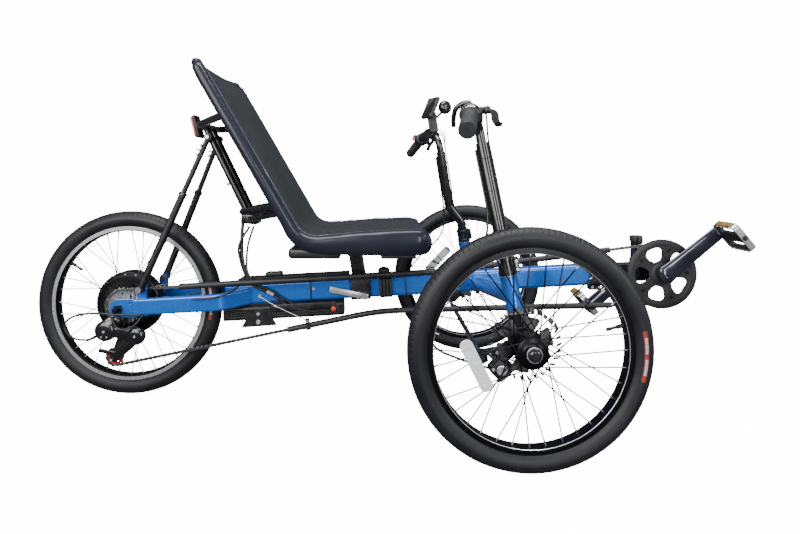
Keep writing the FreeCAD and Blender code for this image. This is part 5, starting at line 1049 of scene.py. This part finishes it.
def chain_points():
    """Pins of the closed chain: the common tangents of neighbouring circles joined by their arcs, walked in
    steps near the pitch. A tangent leaves circle one and meets circle two at the angle of the line between
    the middles less arccos((s1 r1 - s2 r2) / distance), where s is +1 for an anticlockwise arc."""
    circles = [((0, 0), toothed_radius(22), -1), ((0.793, 0.796), 0.700, 1),
               ((shaft[0] - rear[0], shaft[2] - rear[2]), ring_radius, -1), ((0.774, -0.706), 0.700, 1),
               ((-0.020, -0.136), 0.0225, -1), ((0.010, -0.080), 0.0225, 1)]
    lines = []
    for (start, radius, turn), (end, next_radius, next_turn) in zip(circles, circles[1:] + circles[:1]):
        apart = np.subtract(end, start)
        signed = turn * radius - next_turn * next_radius
        angle = math.atan2(apart[1], apart[0]) - math.acos(signed / np.linalg.norm(apart))
        normal = np.array([math.cos(angle), math.sin(angle)])
        lines.append((start + normal * turn * radius, end + normal * next_turn * next_radius))
    track = []
    for (middle, radius, turn), (before, arrive), (leave, _) in zip(
            circles[1:] + circles[:1], lines, lines[1:] + lines[:1]):
        first = math.atan2(*(arrive - middle)[::-1])
        sweep = (math.atan2(*(leave - middle)[::-1]) - first) * turn % (2 * math.pi) * turn
        angle = first + np.linspace(0, sweep, max(3, int(abs(sweep) * radius / 0.002)))
        track += [before[None], middle + radius * np.stack([np.cos(angle), np.sin(angle)], -1)]
    track = np.concatenate(track + [track[0]])
    length = np.concatenate([[0], np.cumsum(np.linalg.norm(np.diff(track, axis=0), axis=1))])
    count = 2 * round(length[-1] / chain_pitch / 2)
    at = np.linspace(0, length[-1], count, endpoint=False)
    return np.stack([np.interp(at, length, track[:, axis]) for axis in (0, 1)], -1)


def link_plate(gap):
    """A waisted link plate on each side of the chain, gap apart."""
    turn = np.radians(np.linspace(-110, 110, 8))
    cap = np.stack([0.0042 * np.cos(turn), 0.0042 * np.sin(turn)], -1)
    outline = np.concatenate([cap + [0.00635, 0], [[0, 0.0031]], cap * [-1, -1] - [0.00635, 0],
                              [[0, -0.0031]]])
    plate = stamped([outline], 0.0010, 0.0001)
    return [(plate[0] + [0, side * gap, 0], plate[1]) for side in (-1, 1)]


def rolled_steel(place):
    """Oiled chain steel: bright on the plates, brown-black where the oil holds dust."""
    dirt = place.noise(300.0, 3.0).step(0.45, 0.7)
    return {"Base Color": dirt.mix((0.42, 0.42, 0.42), (0.10, 0.09, 0.08)), "Roughness": dirt * 0.25 + 0.22}


chain_steel = finish("chain_steel", {"Metallic": 1.0}, rolled_steel)
pulley_red = finish("red_pulley_plastic", {"Coat Weight": 0.3},
                    tinted((0.42, 0.012, 0.012), (0.62, 0.03, 0.025), 90.0, 400.0, 0.15, 0.28))
dressed(satin_plastic, "chain_tubes")
pins = chain_points()
inner_plates, outer_plates = link_plate(0.0019), link_plate(0.0028)
roller = turned([(0, -0.0034), (0.0018, -0.0034), (0.0018, -0.0016), (0.0038, -0.0016), (0.0038, 0.0016),
                 (0.0018, 0.0016), (0.0018, 0.0034), (0, 0.0034)], 8)
links = []
for index, (pin, next_pin) in enumerate(zip(pins, np.roll(pins, -1, axis=0))):
    spot = rear + [(pin[0] + next_pin[0]) / 2, ring_line, (pin[1] + next_pin[1]) / 2]
    ahead = (next_pin[0] - pin[0], 0, next_pin[1] - pin[1])
    links += [placed(plate, spot, (0, 1, 0), ahead)
              for plate in (outer_plates if index % 2 else inner_plates)]
    links.append(placed(roller, rear + [pin[0], ring_line, pin[1]]))
hung("chain_links", links, chain_steel, "frame", ["chain"], edge=50.0, weld=0.0)
cogs = []
for index, count in enumerate((32, 28, 26, 24, 22, 18, 14)):
    pitch_radius = toothed_radius(count)
    outline = [waved(pitch_radius + 0.0020, 0.0058, count, 8, 0.8)]
    if count > 20:
        outline += [bowed(rounded_loop((pitch_radius - 0.033) / 2, 0.0085, 0.002),
                          (pitch_radius + 0.019) / 2, 60 * k + 10 * index) for k in range(6)]
    outline.append(waved(0.0170, 0, 1, 32))
    cogs.append(placed(stamped(outline, 0.0018), rear + [0, -(0.029 + 0.0048 * index), 0]))
hub_body = turned([(0.0170, -0.0585), (0.0205, -0.0585), (0.0215, -0.0570), (0.0215, -0.0280),
                   (0.0170, -0.0280)], 48, True)
hung("cassette_large", cogs[:3], dark_spokes, "rear_wheel")
hung("cassette", cogs[3:] + [placed(hub_body, rear)], bright_steel, "rear_wheel", ["sprockets"])
guide, tension = rear + [0.010, ring_line, -0.080], rear + [-0.020, ring_line, -0.136]
wheel = stamped([waved(0.0245, 0.0048, 11, 10, 0.8),
                 *[swung(rounded_loop(0.0030, 0.0030, 0.0029), 0.0120, 60 * k) for k in range(6)],
                 waved(0.0030, 0, 1, 16)], 0.0032)
hung("tension_pulley", [placed(wheel, tension)], pulley_red, "frame", ["derailleur_pulleys"])
hung("guide_pulley", [placed(wheel, guide)], satin_plastic, "frame")
down = unit([tension[0] - guide[0], 0, tension[2] - guide[2]])
reach = np.linalg.norm(tension - guide)


def cage_outline(width_at_guide, width_at_tension, past):
    """A tapered plate from the guide pulley to past the tension pulley, round at both ends."""
    top, bottom = np.radians(np.linspace(90, 270, 14)), np.radians(np.linspace(-90, 90, 14))
    return np.concatenate([np.stack([np.cos(top), np.sin(top)], -1) * width_at_guide,
                           np.stack([np.cos(bottom), np.sin(bottom)], -1) * width_at_tension
                           + [reach + past, 0]])


cage = [placed(stamped([cage_outline(0.0135, 0.0125, 0.0)], 0.0016, 0.0003), guide + [0, side * 0.0060, 0],
               (0, 1, 0), down) for side in (-1, 1)]
cage.append(placed(stamped([cage_outline(0.0195, 0.0130, -0.022)], 0.0030, 0.0012), guide + [0, -0.0092, 0],
                   (0, 1, 0), down))
hung("derailleur_cage", cage, cast_black, "frame")
pivot, knuckle_low = rear + [-0.030, -0.0800, -0.056], rear + [0.052, -0.0840, -0.068]
hanger = rear + [-0.002, -0.0815, -0.030]
dome = turned([(0, -0.0120), (0.0140, -0.0116), (0.0225, -0.0096), (0.0268, -0.0055), (0.0280, 0.0020),
               (0.0262, 0.0080), (0, 0.0080)], 56)
small_dome = turned([(0, -0.0110), (0.0110, -0.0106), (0.0190, -0.0088), (0.0232, -0.0045),
                     (0.0240, 0.0020), (0.0222, 0.0080), (0, 0.0080)], 56)
across_body = knuckle_low - pivot
arm_way = unit([tension[0] - knuckle_low[0] - 0.006, 0, tension[2] - knuckle_low[2]])
body = [placed(turned([(0, -0.0095), (0.0080, -0.0095), (0.0125, -0.0070), (0.0140, -0.0020),
                       (0.0140, 0.0080), (0, 0.0080)], 40), hanger, (0, 1, 0)),
        placed(rounded_block((0.044, 0.013, 0.026), 0.006), (hanger + pivot) / 2, (0, 1, 0),
               hanger - pivot), placed(dome, pivot),
        placed(rounded_block((0.084, 0.013, 0.030), 0.0062), pivot + across_body * 0.5 + [0, 0.003, 0],
               (0, 1, 0), across_body), placed(small_dome, knuckle_low),
        placed(rounded_block((0.104, 0.010, 0.023), 0.0048),
               (knuckle_low + tension) / 2 + [0.002, 0.0020, -0.003], (0, 1, 0), arm_way),
        placed(rounded_block((0.056, 0.004, 0.011), 0.0019), rear + [-0.030, -0.0630, -0.119], (0, 1, 0),
               (1, 0, -0.22))]
hung("derailleur_body", body, gloss_black, "frame", ["rear_derailleur"], edge=50.0)
bright = [placed(turned([(0, -0.0015), (0.0040, -0.0015), (0.0044, -0.0030), (0.0082, -0.0030),
                         (0.0092, -0.0020), (0.0092, 0.001), (0, 0.001)], 32),
                 rear + [-0.015, -0.0935, -0.029]),
          *[placed(screw(radius, height), spot, (0, -1, 0)) for radius, height, spot in (
              (0.0032, 0.0020, tension + [0, -0.0230, 0]), (0.0034, 0.0018, pivot + [0, -0.0118, 0]),
              (0.0030, 0.0018, knuckle_low + [0, -0.0108, 0]),
              (0.0022, 0.0018, pivot + [-0.006, -0.0115, -0.014]),
              (0.0022, 0.0018, pivot + [0.008, -0.0115, -0.014]))]]
hung("derailleur_screws", bright, bright_alloy, "frame")
loop = curve_through(rear + [(0.064, -0.0865, -0.013), (0.004, -0.0915, -0.011), (-0.053, -0.0900, -0.008),
                             (-0.107, -0.0885, -0.016), (-0.134, -0.0870, -0.037),
                             (-0.128, -0.0860, -0.061), (-0.107, -0.0840, -0.077),
                             (-0.077, -0.0820, -0.080), (-0.060, -0.0800, -0.074)])
hung("gear_cable_loop", [along_path(loop, 0.0029, 12)], sleeve_black, "frame")
ferrule = along_path(np.array([loop[-6], loop[-3], loop[-1] + (loop[-1] - loop[-3]) * 0.8]),
                     [0.0034, 0.0042, 0.0042], 12)
hung("gear_cable_barrel", [ferrule], satin_plastic, "frame")
wire = curve_through(rear + [(-0.008, -0.0965, -0.016), (0.004, -0.0965, -0.040), (0.022, -0.0975, -0.048),
                             (0.052, -0.0950, -0.037), (0.070, -0.0870, -0.013)])
hung("motor_lead", [along_path(wire, 0.0026, 10)], sleeve_black, "frame")

# --- Seat frame ---------------------------------------------------------------------------------
# Bent steel tubes, painted gloss black: the solids stay, but for the two cross bars. Two telescopic
# struts with spring pins stand on the stays; a clamp with a lever holds the seat post on the beam.

dressed(gloss_black, "right_seat_rail", "left_seat_rail", "seat_bows", "centre_tubes", "seat_post")
dressed(cast_black, "seat_clamp", "seat_struts")
dressed(bright_steel, "strut_bolts")
dressed(dark_spokes, "rear_axle")
pins, holes = [], []
for side, outward in (("right", -1), ("left", 1)):
    foot = rear + [0.062, outward * 0.0833, 0.054]
    head = rear + [0.2286, outward * 0.0462, 0.4564]
    way = unit(head - foot)
    back = unit(np.cross(way, [0, 1, 0]))
    back = back * (1 if back[0] < 0 else -1)
    length = np.linalg.norm(head - foot)
    def on_strut(shape, along, out, face):
        """The shape on the strut's surface, at a share of its length, standing out towards face."""
        return placed(shape, foot + way * along * length + face * out, face)
    pins += [on_strut(screw(0.0042, 0.0055, 20, 0.35), along, 0.0068, back) for along in (0.875, 0.935)]
    pins += [on_strut(screw(0.0032, 0.0100), 0.905, 0.0068, back)]
    pins += [placed(screw(0.0062, 0.0040, 6), head + [0, outward * 0.0118, 0], (0, outward, 0))]
    holes += [on_strut(turned([(0, 0.0006), (0.0022, 0.0006), (0.0026, 0), (0, 0)], 12), along, 0.0066,
                       np.array([0, outward, 0])) for along in (0.70, 0.735, 0.77, 0.805, 0.84)]
    collar = placed(turned([(0.0072, -0.004), (0.0112, -0.0034), (0.0112, 0.0034), (0.0072, 0.004)], 32,
                           True), foot + way * 0.62 * length, way)
    hung(side + "_strut_collar", [collar], gloss_black, "frame")
hung("strut_pins", pins, bright_alloy, "frame")
hung("strut_pin_holes", holes, satin_plastic, "frame")
beam_rise, beam_climb = 0.0085, math.tan(math.radians(3.46))
slope = unit([1, 0, beam_climb])
square = unit([-slope[2], 0, slope[0]])


def on_beam(ahead, up, side=0.0):
    """A point beside the beam's middle line, from a distance ahead of the rear axle and a height square to
    the beam."""
    return rear + [ahead, side, beam_rise + ahead * beam_climb] + square * up


lever_root, lever_tip = on_beam(0.650, -0.0205, -0.0345), on_beam(0.560, 0.0050, -0.0445)
lever = [placed(rounded_block((0.104, 0.0075, 0.0170), 0.0024), (lever_root + lever_tip) / 2, (-0.11, 1, 0),
                lever_root - lever_tip),
         placed(turned([(0, -0.0045), (0.0070, -0.0045), (0.0088, -0.0030), (0.0088, 0.0060), (0, 0.0060)],
                       32), lever_root)]
hung("clamp_lever", lever, bright_alloy, "frame")
block = [placed(rounded_block((0.054, 0.0105, 0.058), 0.0030), on_beam(0.638, 0.0, -0.0262), (0, 1, 0),
                slope)]
hung("clamp_block", block, cast_black, "frame")
band = [placed(rounded_block((0.0072, 0.0640, 0.0470), 0.0014), on_beam(0.6935 + 0.0090 * k, 0), (0, 1, 0),
               slope) for k in range(4)]
band += [placed(rounded_block((0.036, 0.0440, 0.0610), 0.0040), on_beam(0.707, 0), (0, 1, 0), slope)]
hung("beam_band", band, grip_rubber, "frame")
cap = placed(turned([(0, 0.0), (0.0150, 0.0010), (0.0166, 0.0060), (0.0160, 0.0110), (0.0120, 0.0160),
                     (0.0060, 0.0175), (0, 0.0177)], 40), on_beam(0.704, 0.0330), square)
stem = placed(turned([(0, -0.0060), (0.0060, -0.0060), (0.0060, 0.0012), (0, 0.0012)], 24),
              on_beam(0.704, 0.0310), square)
hung("band_knob", [cap, stem], grip_rubber, "frame")
nut_way = unit([-0.228, 0, -0.112])
nuts = [placed(screw(0.0040, 0.0085, 6),
               rear + [0.214 + 0.112 * share, side * 0.027, 0.486 - 0.228 * share] + nut_way * 0.0092,
               nut_way) for side in (-1, 1) for share in (0.16, 0.66)]
hung("centre_tube_nuts", nuts, bright_alloy, "frame", edge=20.0)
bars_low, bars_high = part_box("seat_cross_bars")
pan_x, pan_z = bars_high[0] - 0.011, bars_low[2] + 0.011
top_way = unit([0.247, 0, -0.425])
top_end = rear + [0.246, 0, 0.618] + top_way * 0.014
behind = np.array([top_way[2], 0, -top_way[0]])
pan_half = [(0.190, rear[2] + 0.193), (0.179, pan_z + 0.016), (0.163, pan_z + 0.001), (0.100, pan_z)]
pan_bar = curve_through([(pan_x, -y, z) for y, z in pan_half] + [(pan_x, y, z) for y, z in pan_half[::-1]],
                        6)
bow = np.linspace(-0.190, 0.190, 24)
top_bar = (top_end + np.stack([0 * bow, bow, 0 * bow], -1)
           + behind * (0.0125 * (1 - (bow / 0.190) ** 2))[:, None])
hung("seat_bars", [along_path(pan_bar, 0.0108, 24), along_path(top_bar, 0.0094, 24)], gloss_black, "frame",
     ["seat_cross_bars"])
brace = curve_through(rear + [(0.447, -0.186, 0.262), (0.392, -0.150, 0.250), (0.345, -0.080, 0.238),
                              (0.333, 0.0, 0.236), (0.345, 0.080, 0.238), (0.392, 0.150, 0.250),
                              (0.447, 0.186, 0.262)])
under_bow = [along_path(brace, 0.0068, 20),
             placed(rounded_block((0.034, 0.060, 0.046), 0.005), rear + [0.334, 0, 0.238], (0, 1, 0),
                    (0.1, 0, 1))]
hung("seat_brace", under_bow, gloss_black, "frame")

# --- Seat cover -----------------------------------------------------------------------------------
# One sleeve over both rails, pan and back: dark woven mesh on the face and glossy vinyl round the rails.
# A thin bead, lighter than the vinyl, runs along each side roll's crest as a painted highlight. The face sags
# like a sling; the side rolls are padded.

rail_up, rail_front, rail_crook = 0.193, 0.789, 0.493
back_top = np.array([0.246, 0.618])
cover_half, roll, face_edge = 0.2045, 0.0155, 0.1715


def cover_line(count):
    """The rails' line from the pan's front to the back's top, in the rear axle's plane: a straight, an arc
    of the rails' bend radius tangent to both, and a straight, a little past the rails at each end. With it
    the line's normals, its share of the length, and the cover's height over the line at its edges."""
    front, crook = np.array([rail_front, rail_up]), np.array([rail_crook, rail_up])
    rise = unit(back_top - crook)
    turn = math.acos(-rise[0])
    bend = 0.070
    cut = bend * math.tan(turn / 2)
    lengths = np.array([rail_front - rail_crook - cut + 0.0115, bend * turn,
                        np.linalg.norm(back_top - crook) - cut + 0.0115])
    at = np.linspace(0, lengths.sum(), count)
    angle = math.pi - np.clip((at - lengths[0]) / lengths[1], 0, 1) * turn
    way = np.stack([np.cos(angle), np.sin(angle)], -1)
    step = (way[1:] + way[:-1]) / 2 * np.diff(at)[:, None]
    line = np.concatenate([[front + [0.0115, 0]], front + [0.0115, 0] + np.cumsum(step, axis=0)])
    share = at / lengths.sum()
    return (line, np.stack([way[:, 1], -way[:, 0]], -1), share,
            np.interp(share, [0, 0.03, 0.20, 0.32, 1], [0.0300, 0.0340, 0.0265, 0.0165, 0.0150]))


def cover_shape():
    """The sleeve: a closed section of a sagging face, two round rolls and a flat underside, carried along
    the rails' line; each end rounds off as cos and sin of a quarter turn."""
    line, normal, share, top = cover_line(110)
    quarter = np.radians([88, 70, 50, 30, 12])
    def ended(values):
        """The rows with the first and the last repeated for the rounded ends."""
        return np.concatenate([np.repeat(values[:1], 5, 0), values, np.repeat(values[-1:], 5, 0)])
    long = np.linalg.norm(np.diff(line, axis=0), axis=1).sum()
    past = np.concatenate([-0.016 * np.sin(quarter), np.zeros(110), 0.014 * np.sin(quarter[::-1])])
    normal, share, top = ended(normal), ended(share), ended(top)
    line = ended(line) + np.stack([-normal[:, 1], normal[:, 0]], -1) * past[:, None]
    squeeze = np.concatenate([np.cos(quarter), np.ones(110), np.cos(quarter[::-1])])
    under = np.interp(share, [0, 0.04, 0.30, 0.44, 0.95, 1], [0.0290, 0.0320, 0.0300, 0.0165, 0.0155, 0.0125])
    sag = np.interp(share, [0, 0.04, 0.15, 0.32, 0.40, 0.6, 0.93, 1],
                    [0.014, 0.024, 0.019, 0.009, 0.008, 0.012, 0.0145, 0.0190])
    hollow = np.interp(share, [0, 0.86, 0.95, 1], [0, 0, 0.009, 0.010])
    into = np.clip(1 - np.minimum((1 - share) * long / 0.016, share * long / 0.016 + 0.15), 0, 1)
    narrow = 0.016 * (1 - np.sqrt(1 - into ** 2))
    side = np.radians(np.linspace(90, -90, 13))
    flat = cover_half - roll
    across = np.concatenate([np.linspace(-1, 1, 41)[:-1] * flat, flat + roll * np.cos(side),
                             np.linspace(1, -1, 25)[1:-1] * flat, -flat - roll * np.cos(side[::-1])])
    level = np.concatenate([np.ones(40), np.sin(side), -np.ones(23), np.sin(side[::-1])])[None]
    middle = (np.clip(1 - (across / flat) ** 2, 0, 1) ** 0.8)[None]
    height = np.where(level > 0, level * top[:, None], level * under[:, None])
    height -= (middle
               * (np.where(level >= 0.999, sag[:, None], 0)
                  + np.where(level <= -0.999, hollow[:, None], 0)))
    height *= squeeze[:, None]
    wide = across[None] * (1 - narrow[:, None] / cover_half)
    points = np.stack([line[:, None, 0] + normal[:, None, 0] * height, wide,
                       line[:, None, 1] + normal[:, None, 1] * height], -1)
    caps = [np.broadcast_to(points[end].mean(0), (1, len(across), 3)) for end in (0, -1)]
    points = np.concatenate([caps[0], points, caps[1]])
    return points.reshape(-1, 3) + rear, grid_faces(len(line) + 2, len(across), False, True)


def simulate(piece, voxel, pressure, cap, pinned):
    """Makes the piece remeshed cloth under pressure: no point moves further than cap, pinned points stay,
    and one subdivision smooths it."""
    scene = bpy.context.scene
    remesh = piece.modifiers.new("remesh", "REMESH")
    remesh.mode, remesh.voxel_size = "VOXEL", voxel
    def evaluated():
        """The piece's mesh with its modifiers applied."""
        return bpy.data.meshes.new_from_object(piece.evaluated_get(bpy.context.evaluated_depsgraph_get()))
    piece.data = evaluated()
    piece.modifiers.clear()
    start = np.empty(len(piece.data.vertices) * 3)
    piece.data.vertices.foreach_get("co", start)
    start = start.reshape(-1, 3)
    group = piece.vertex_groups.new(name="held")
    group.add(np.flatnonzero(pinned(start)).tolist(), 1.0, "REPLACE")
    cloth = piece.modifiers.new("cloth", "CLOTH")
    cloth.settings.quality, cloth.settings.mass = 6, 0.35
    cloth.settings.tension_stiffness = cloth.settings.compression_stiffness = 12
    cloth.settings.shear_stiffness, cloth.settings.bending_stiffness = 8, 0.4
    cloth.settings.use_pressure, cloth.settings.uniform_pressure_force = True, pressure
    cloth.settings.vertex_group_mass = "held"
    cloth.settings.effector_weights.gravity = 0
    cloth.point_cache.frame_start, cloth.point_cache.frame_end = 1, 20
    for moment in range(1, 21):
        scene.frame_set(moment)
    made = evaluated()
    moved = np.empty(len(start) * 3)
    made.vertices.foreach_get("co", moved)
    piece.modifiers.clear()
    scene.frame_set(1)
    step = moved.reshape(-1, 3) - start
    far = np.linalg.norm(step, axis=1, keepdims=True)
    start = start + step * np.minimum(1, cap / np.maximum(far, 1e-9))
    piece.data.vertices.foreach_set("co", start.ravel())
    smooth = piece.modifiers.new("smooth", "SUBSURF")
    smooth.levels = smooth.render_levels = 1
    piece.data = evaluated()
    piece.modifiers.clear()
    piece.vertex_groups.clear()
    piece.data.shade_smooth()


def cover_cloth(place):
    """Woven mesh over the face and vinyl round the rails. The weave is two crossed waves of thread, over
    and under by turns; the vinyl has a fine leather grain, and creases gather where the vinyl meets the mesh."""
    across, along = place.axis(1), (place.axis(2) - place.axis(0)) * 0.85
    side = across.maths("ABSOLUTE", across)
    inward = (place.axis(0).step(rear[0] + 0.44, rear[0] + 0.56) * 0.022
              + place.axis(2).step(rear[2] + 0.53, rear[2] + 0.62) * 0.018)
    vinyl = (side + inward - face_edge).step(-0.0008, 0.0008)
    front = place.axis(0).step(rear[0] + rail_front - 0.009, rear[0] + rail_front - 0.006)
    vinyl = vinyl.maths("MAXIMUM", vinyl, front)
    warp = across.maths("SINE", across * 2600.0)
    weft = across.maths("SINE", along * 2600.0)
    thread = warp * weft
    wear = place.noise(5.0, 4.0, 0.6)
    cloth_colour = (thread * 0.25 + wear * 0.75).mix((0.016, 0.017, 0.019), (0.040, 0.042, 0.047))
    vinyl_colour = wear.mix((0.010, 0.011, 0.019), (0.024, 0.026, 0.042))
    creases = (place.noise(26.0, 3.0, 0.6)
               * (1.0 - (side - face_edge).maths("ABSOLUTE", side - face_edge) * 55.0).step(0.0, 1.0))
    height = thread * (1.0 - vinyl) * 0.35 + place.noise(800.0, 2.0) * vinyl * 0.25 + creases * 0.15
    return {"Base Color": vinyl.mix(cloth_colour, vinyl_colour),
            "Roughness": vinyl * -0.42 + 0.74 + wear * 0.12, "Normal": height.bump(0.0008, 0.45),
            "Coat Weight": vinyl * 0.6}


seat_cloth = finish("mesh_and_vinyl_cover", {"Specular IOR Level": 0.06, "Coat Roughness": 0.2}, cover_cloth)
# A lighter, glossy navy for the bead on each roll's crest: a painted highlight.
piping_vinyl = finish("piping_vinyl", {"Coat Weight": 0.7},
                      tinted((0.03, 0.033, 0.055), (0.09, 0.10, 0.14), 60.0, 300.0, 0.12, 0.22))
cover = bpy.data.objects.new("seat_cover", made_mesh("seat_cover", [cover_shape()], 80.0, 1e-5))
bpy.context.scene.collection.objects.link(cover)
simulate(cover, 0.0065, -1.2, 0.007, lambda points: np.abs(points[:, 1]) > 0.168)
cover.data.materials.clear()
cover.data.materials.append(seat_cloth)
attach(cover, "frame")
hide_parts("seat_pan", "seat_back")
# Along the crest of each side roll runs a thin bead, lighter than the vinyl: a painted highlight, not a seam.
line, normal, share, top = cover_line(150)
crest = line + normal * (top + 0.0003)[:, None]
bead = np.interp(share, [0, 0.27, 0.33, 0.93, 1], [0.0006, 0.0006, 0.0017, 0.0017, 0.0008])
for side, outward in (("right", -1), ("left", 1)):
    highlight_bead_line = (np.stack([crest[:, 0], np.full(150, outward * (cover_half - roll - 0.001)), crest[:, 1]], -1)
            + rear)
    hung(side + "_seat_piping", [along_path(highlight_bead_line, bead, 8)], piping_vinyl, "frame")
flaps = [placed(rounded_block((0.128, 0.026, 0.372), 0.008), rear + [0.530, 0, 0.1650], (0, 0, 1), (1, 0, 0)),
         placed(rounded_block((0.086, 0.010, 0.372), 0.003), rear + [0.735, 0, 0.1585], (0, 0, 1), (1, 0, 0))]
hung("seat_under_flaps", flaps, sleeve_black, "frame")

# --- Controller, case, cables and tail reflector ---------------------------------------------------
# A ribbed die-cast controller under the beam, a moulded case on top of it, cables tied to the
# frame, and a red reflector in a black holder behind the seat.

red_lens = finish("red_reflector", {"Coat Weight": 0.6},
                  prismatic((0.32, 0.006, 0.006), (0.62, 0.02, 0.02), 0.15))
dressed(cast_black, "controller")
dressed(satin_plastic, "beam_case")
dressed(sleeve_black, "cable_bundle")
plate = np.array([(-0.048, -0.024), (0.050, -0.022), (0.042, -0.006), (0.030, 0.024), (-0.028, 0.024),
                  (-0.036, -0.006)])
bracket = [placed(stamped([plate], 0.0040, 0.0010), rear + [0.3605, -0.0335, -0.0335], (0, 1, 0), slope),
           placed(rounded_block((0.180, 0.0080, 0.022), 0.0040), on_beam(0.480, -0.040, -0.0290), (0, 1, 0),
                  slope)]
hung("controller_bracket", bracket, cast_black, "frame")
fins = [placed(rounded_block((0.300, 0.0030, 0.0022), 0.0010, 2),
               on_beam(0.430, -0.0515 + rise, side * 0.0312), square, slope)
        for rise in (-0.010, -0.003, 0.004, 0.011) for side in (-1, 1)]
hung("controller_fins", fins, cast_black, "frame")
bolts = [placed(screw(radius, 0.0034), rear + [0.3610, -0.0355, rise], (0, -1, 0))
         for rise, radius in ((-0.0215, 0.0048), (-0.0440, 0.0062))]
bolts += [placed(screw(0.0038, 0.0030), on_beam(at, 0.0560, -0.010), square) for at in (0.394, 0.414)]
bolts += [placed(screw(0.0052, 0.0040), rear + [0.3620, -0.0195, 0.0230], (0, -1, 0)),
          placed(screw(0.0040, 0.0030), rear + [0.5090, -0.0205, 0.0440], (0, -1, 0))]
hung("fitting_bolts", bolts, bright_alloy, "frame")
hung("case_clip",
     [placed(rounded_block((0.046, 0.012, 0.026), 0.004), on_beam(0.402, 0.0500, -0.008), square, slope)],
     satin_plastic, "frame")
button = [placed(turned([(0, 0.0030), (0.0050, 0.0028), (0.0066, 0.0016), (0.0066, -0.0030), (0, -0.0030)],
                        28), rear + [0.5650, -0.0345, -0.0070], (0, -1, 0))]
hung("red_cap", button, button_cap, "frame")
rod_low = rear + [0.4970, -0.0560, -0.0340]
rod = [along_path(np.array([rear + [0.3620, -0.0240, 0.0230], rear + [0.4070, -0.0330, -0.0010], rod_low]),
                  0.0012, 10),
       placed(turned([(0, -0.0050), (0.0026, -0.0044), (0.0034, 0.0), (0.0026, 0.0044), (0, 0.0050)], 20),
              rear + [0.4070, -0.0330, -0.0010], rod_low - rear - [0.362, -0.024, 0.023])]
hung("tube_stay_rod", rod, bright_alloy, "frame")
tube_way = unit([1, 0, 0.235])
tube_at = rear + [0.4985, -0.0480, -0.0505]
clips = [placed(turned([(0.0092, -0.0060), (0.0104, -0.0054), (0.0104, 0.0054), (0.0092, 0.0060)], 40,
                       True), tube_at, tube_way),
         placed(rounded_block((0.0120, 0.0040, 0.0220), 0.0019), tube_at + [-0.0005, -0.0085, 0.0130],
                (0, 1, 0), tube_way)]
hung("tube_clip", clips, satin_plastic, "frame")
hung("tube_clip_screw", [placed(screw(0.0036, 0.0026), tube_at + [-0.0005, -0.0105, 0.0160], (0, -1, 0))],
     bright_alloy, "frame")
ties = [placed(rounded_block((0.0042, 0.0420, 0.0590), 0.0008), on_beam(at, 0), (0, 1, 0), slope)
        for at in (0.502, 0.7620)]
hung("beam_ties", ties, sleeve_black, "frame")
routes = [[(0.332, -0.016, 0.214), (0.305, -0.022, 0.163), (0.3095, -0.024, 0.120),
           (0.323, -0.0265, 0.0846), (0.345, -0.0290, 0.055), (0.391, -0.0290, 0.0334),
           (0.421, -0.0280, 0.0117), (0.460, -0.0300, -0.0081), (0.520, -0.0290, -0.0173)],
          [(0.342, -0.010, 0.214), (0.328, -0.016, 0.163), (0.325, -0.019, 0.120), (0.330, -0.0265, 0.0880),
           (0.353, -0.0290, 0.057), (0.395, -0.0290, 0.0400), (0.430, -0.0290, 0.0180),
           (0.468, -0.0300, 0.0010), (0.520, -0.0290, -0.0090)],
          [(0.326, -0.0270, 0.0900), (0.316, -0.0450, 0.062), (0.296, -0.0680, 0.046),
           (0.270, -0.0830, 0.036), (0.235, -0.0870, 0.031), (0.200, -0.0870, 0.029)]]
side_leads = [along_path(curve_through(rear + route), radius, 12)
              for route, radius in zip(routes, (0.0034, 0.0032, 0.0026))]
hung("side_leads", side_leads, sleeve_black, "frame")
ferrule = along_path(rear + [(0.383, -0.0290, 0.0380), (0.401, -0.0288, 0.0288)], 0.0058, 20)
hung("lead_ferrule", [ferrule], bright_alloy, "frame")
lens_low, lens_high = [np.array(corner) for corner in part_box("tail_reflector")]
lens_mid = (lens_low + lens_high) / 2
tipped, upward = (-0.97, 0, -0.24), (-0.24, 0, 0.97)
holder = [placed(rounded_block((0.064, 0.010, 0.044), 0.004), [lens_low[0] + 0.0110, 0, lens_mid[2]],
                 tipped, upward),
          placed(rounded_block((0.016, 0.024, 0.018), 0.003), [lens_low[0] + 0.024, 0, lens_mid[2] - 0.002],
                 (1, 0, 0), (0, 0, 1))]
hung("reflector_holder", holder, satin_plastic, "frame", ["tail_reflector"])
hung("reflector_lens", [placed(rounded_block((0.058, 0.0076, 0.040), 0.0024),
     [lens_low[0] + 0.0042, 0, lens_mid[2] - 0.0015], tipped, upward)], red_lens, "frame")
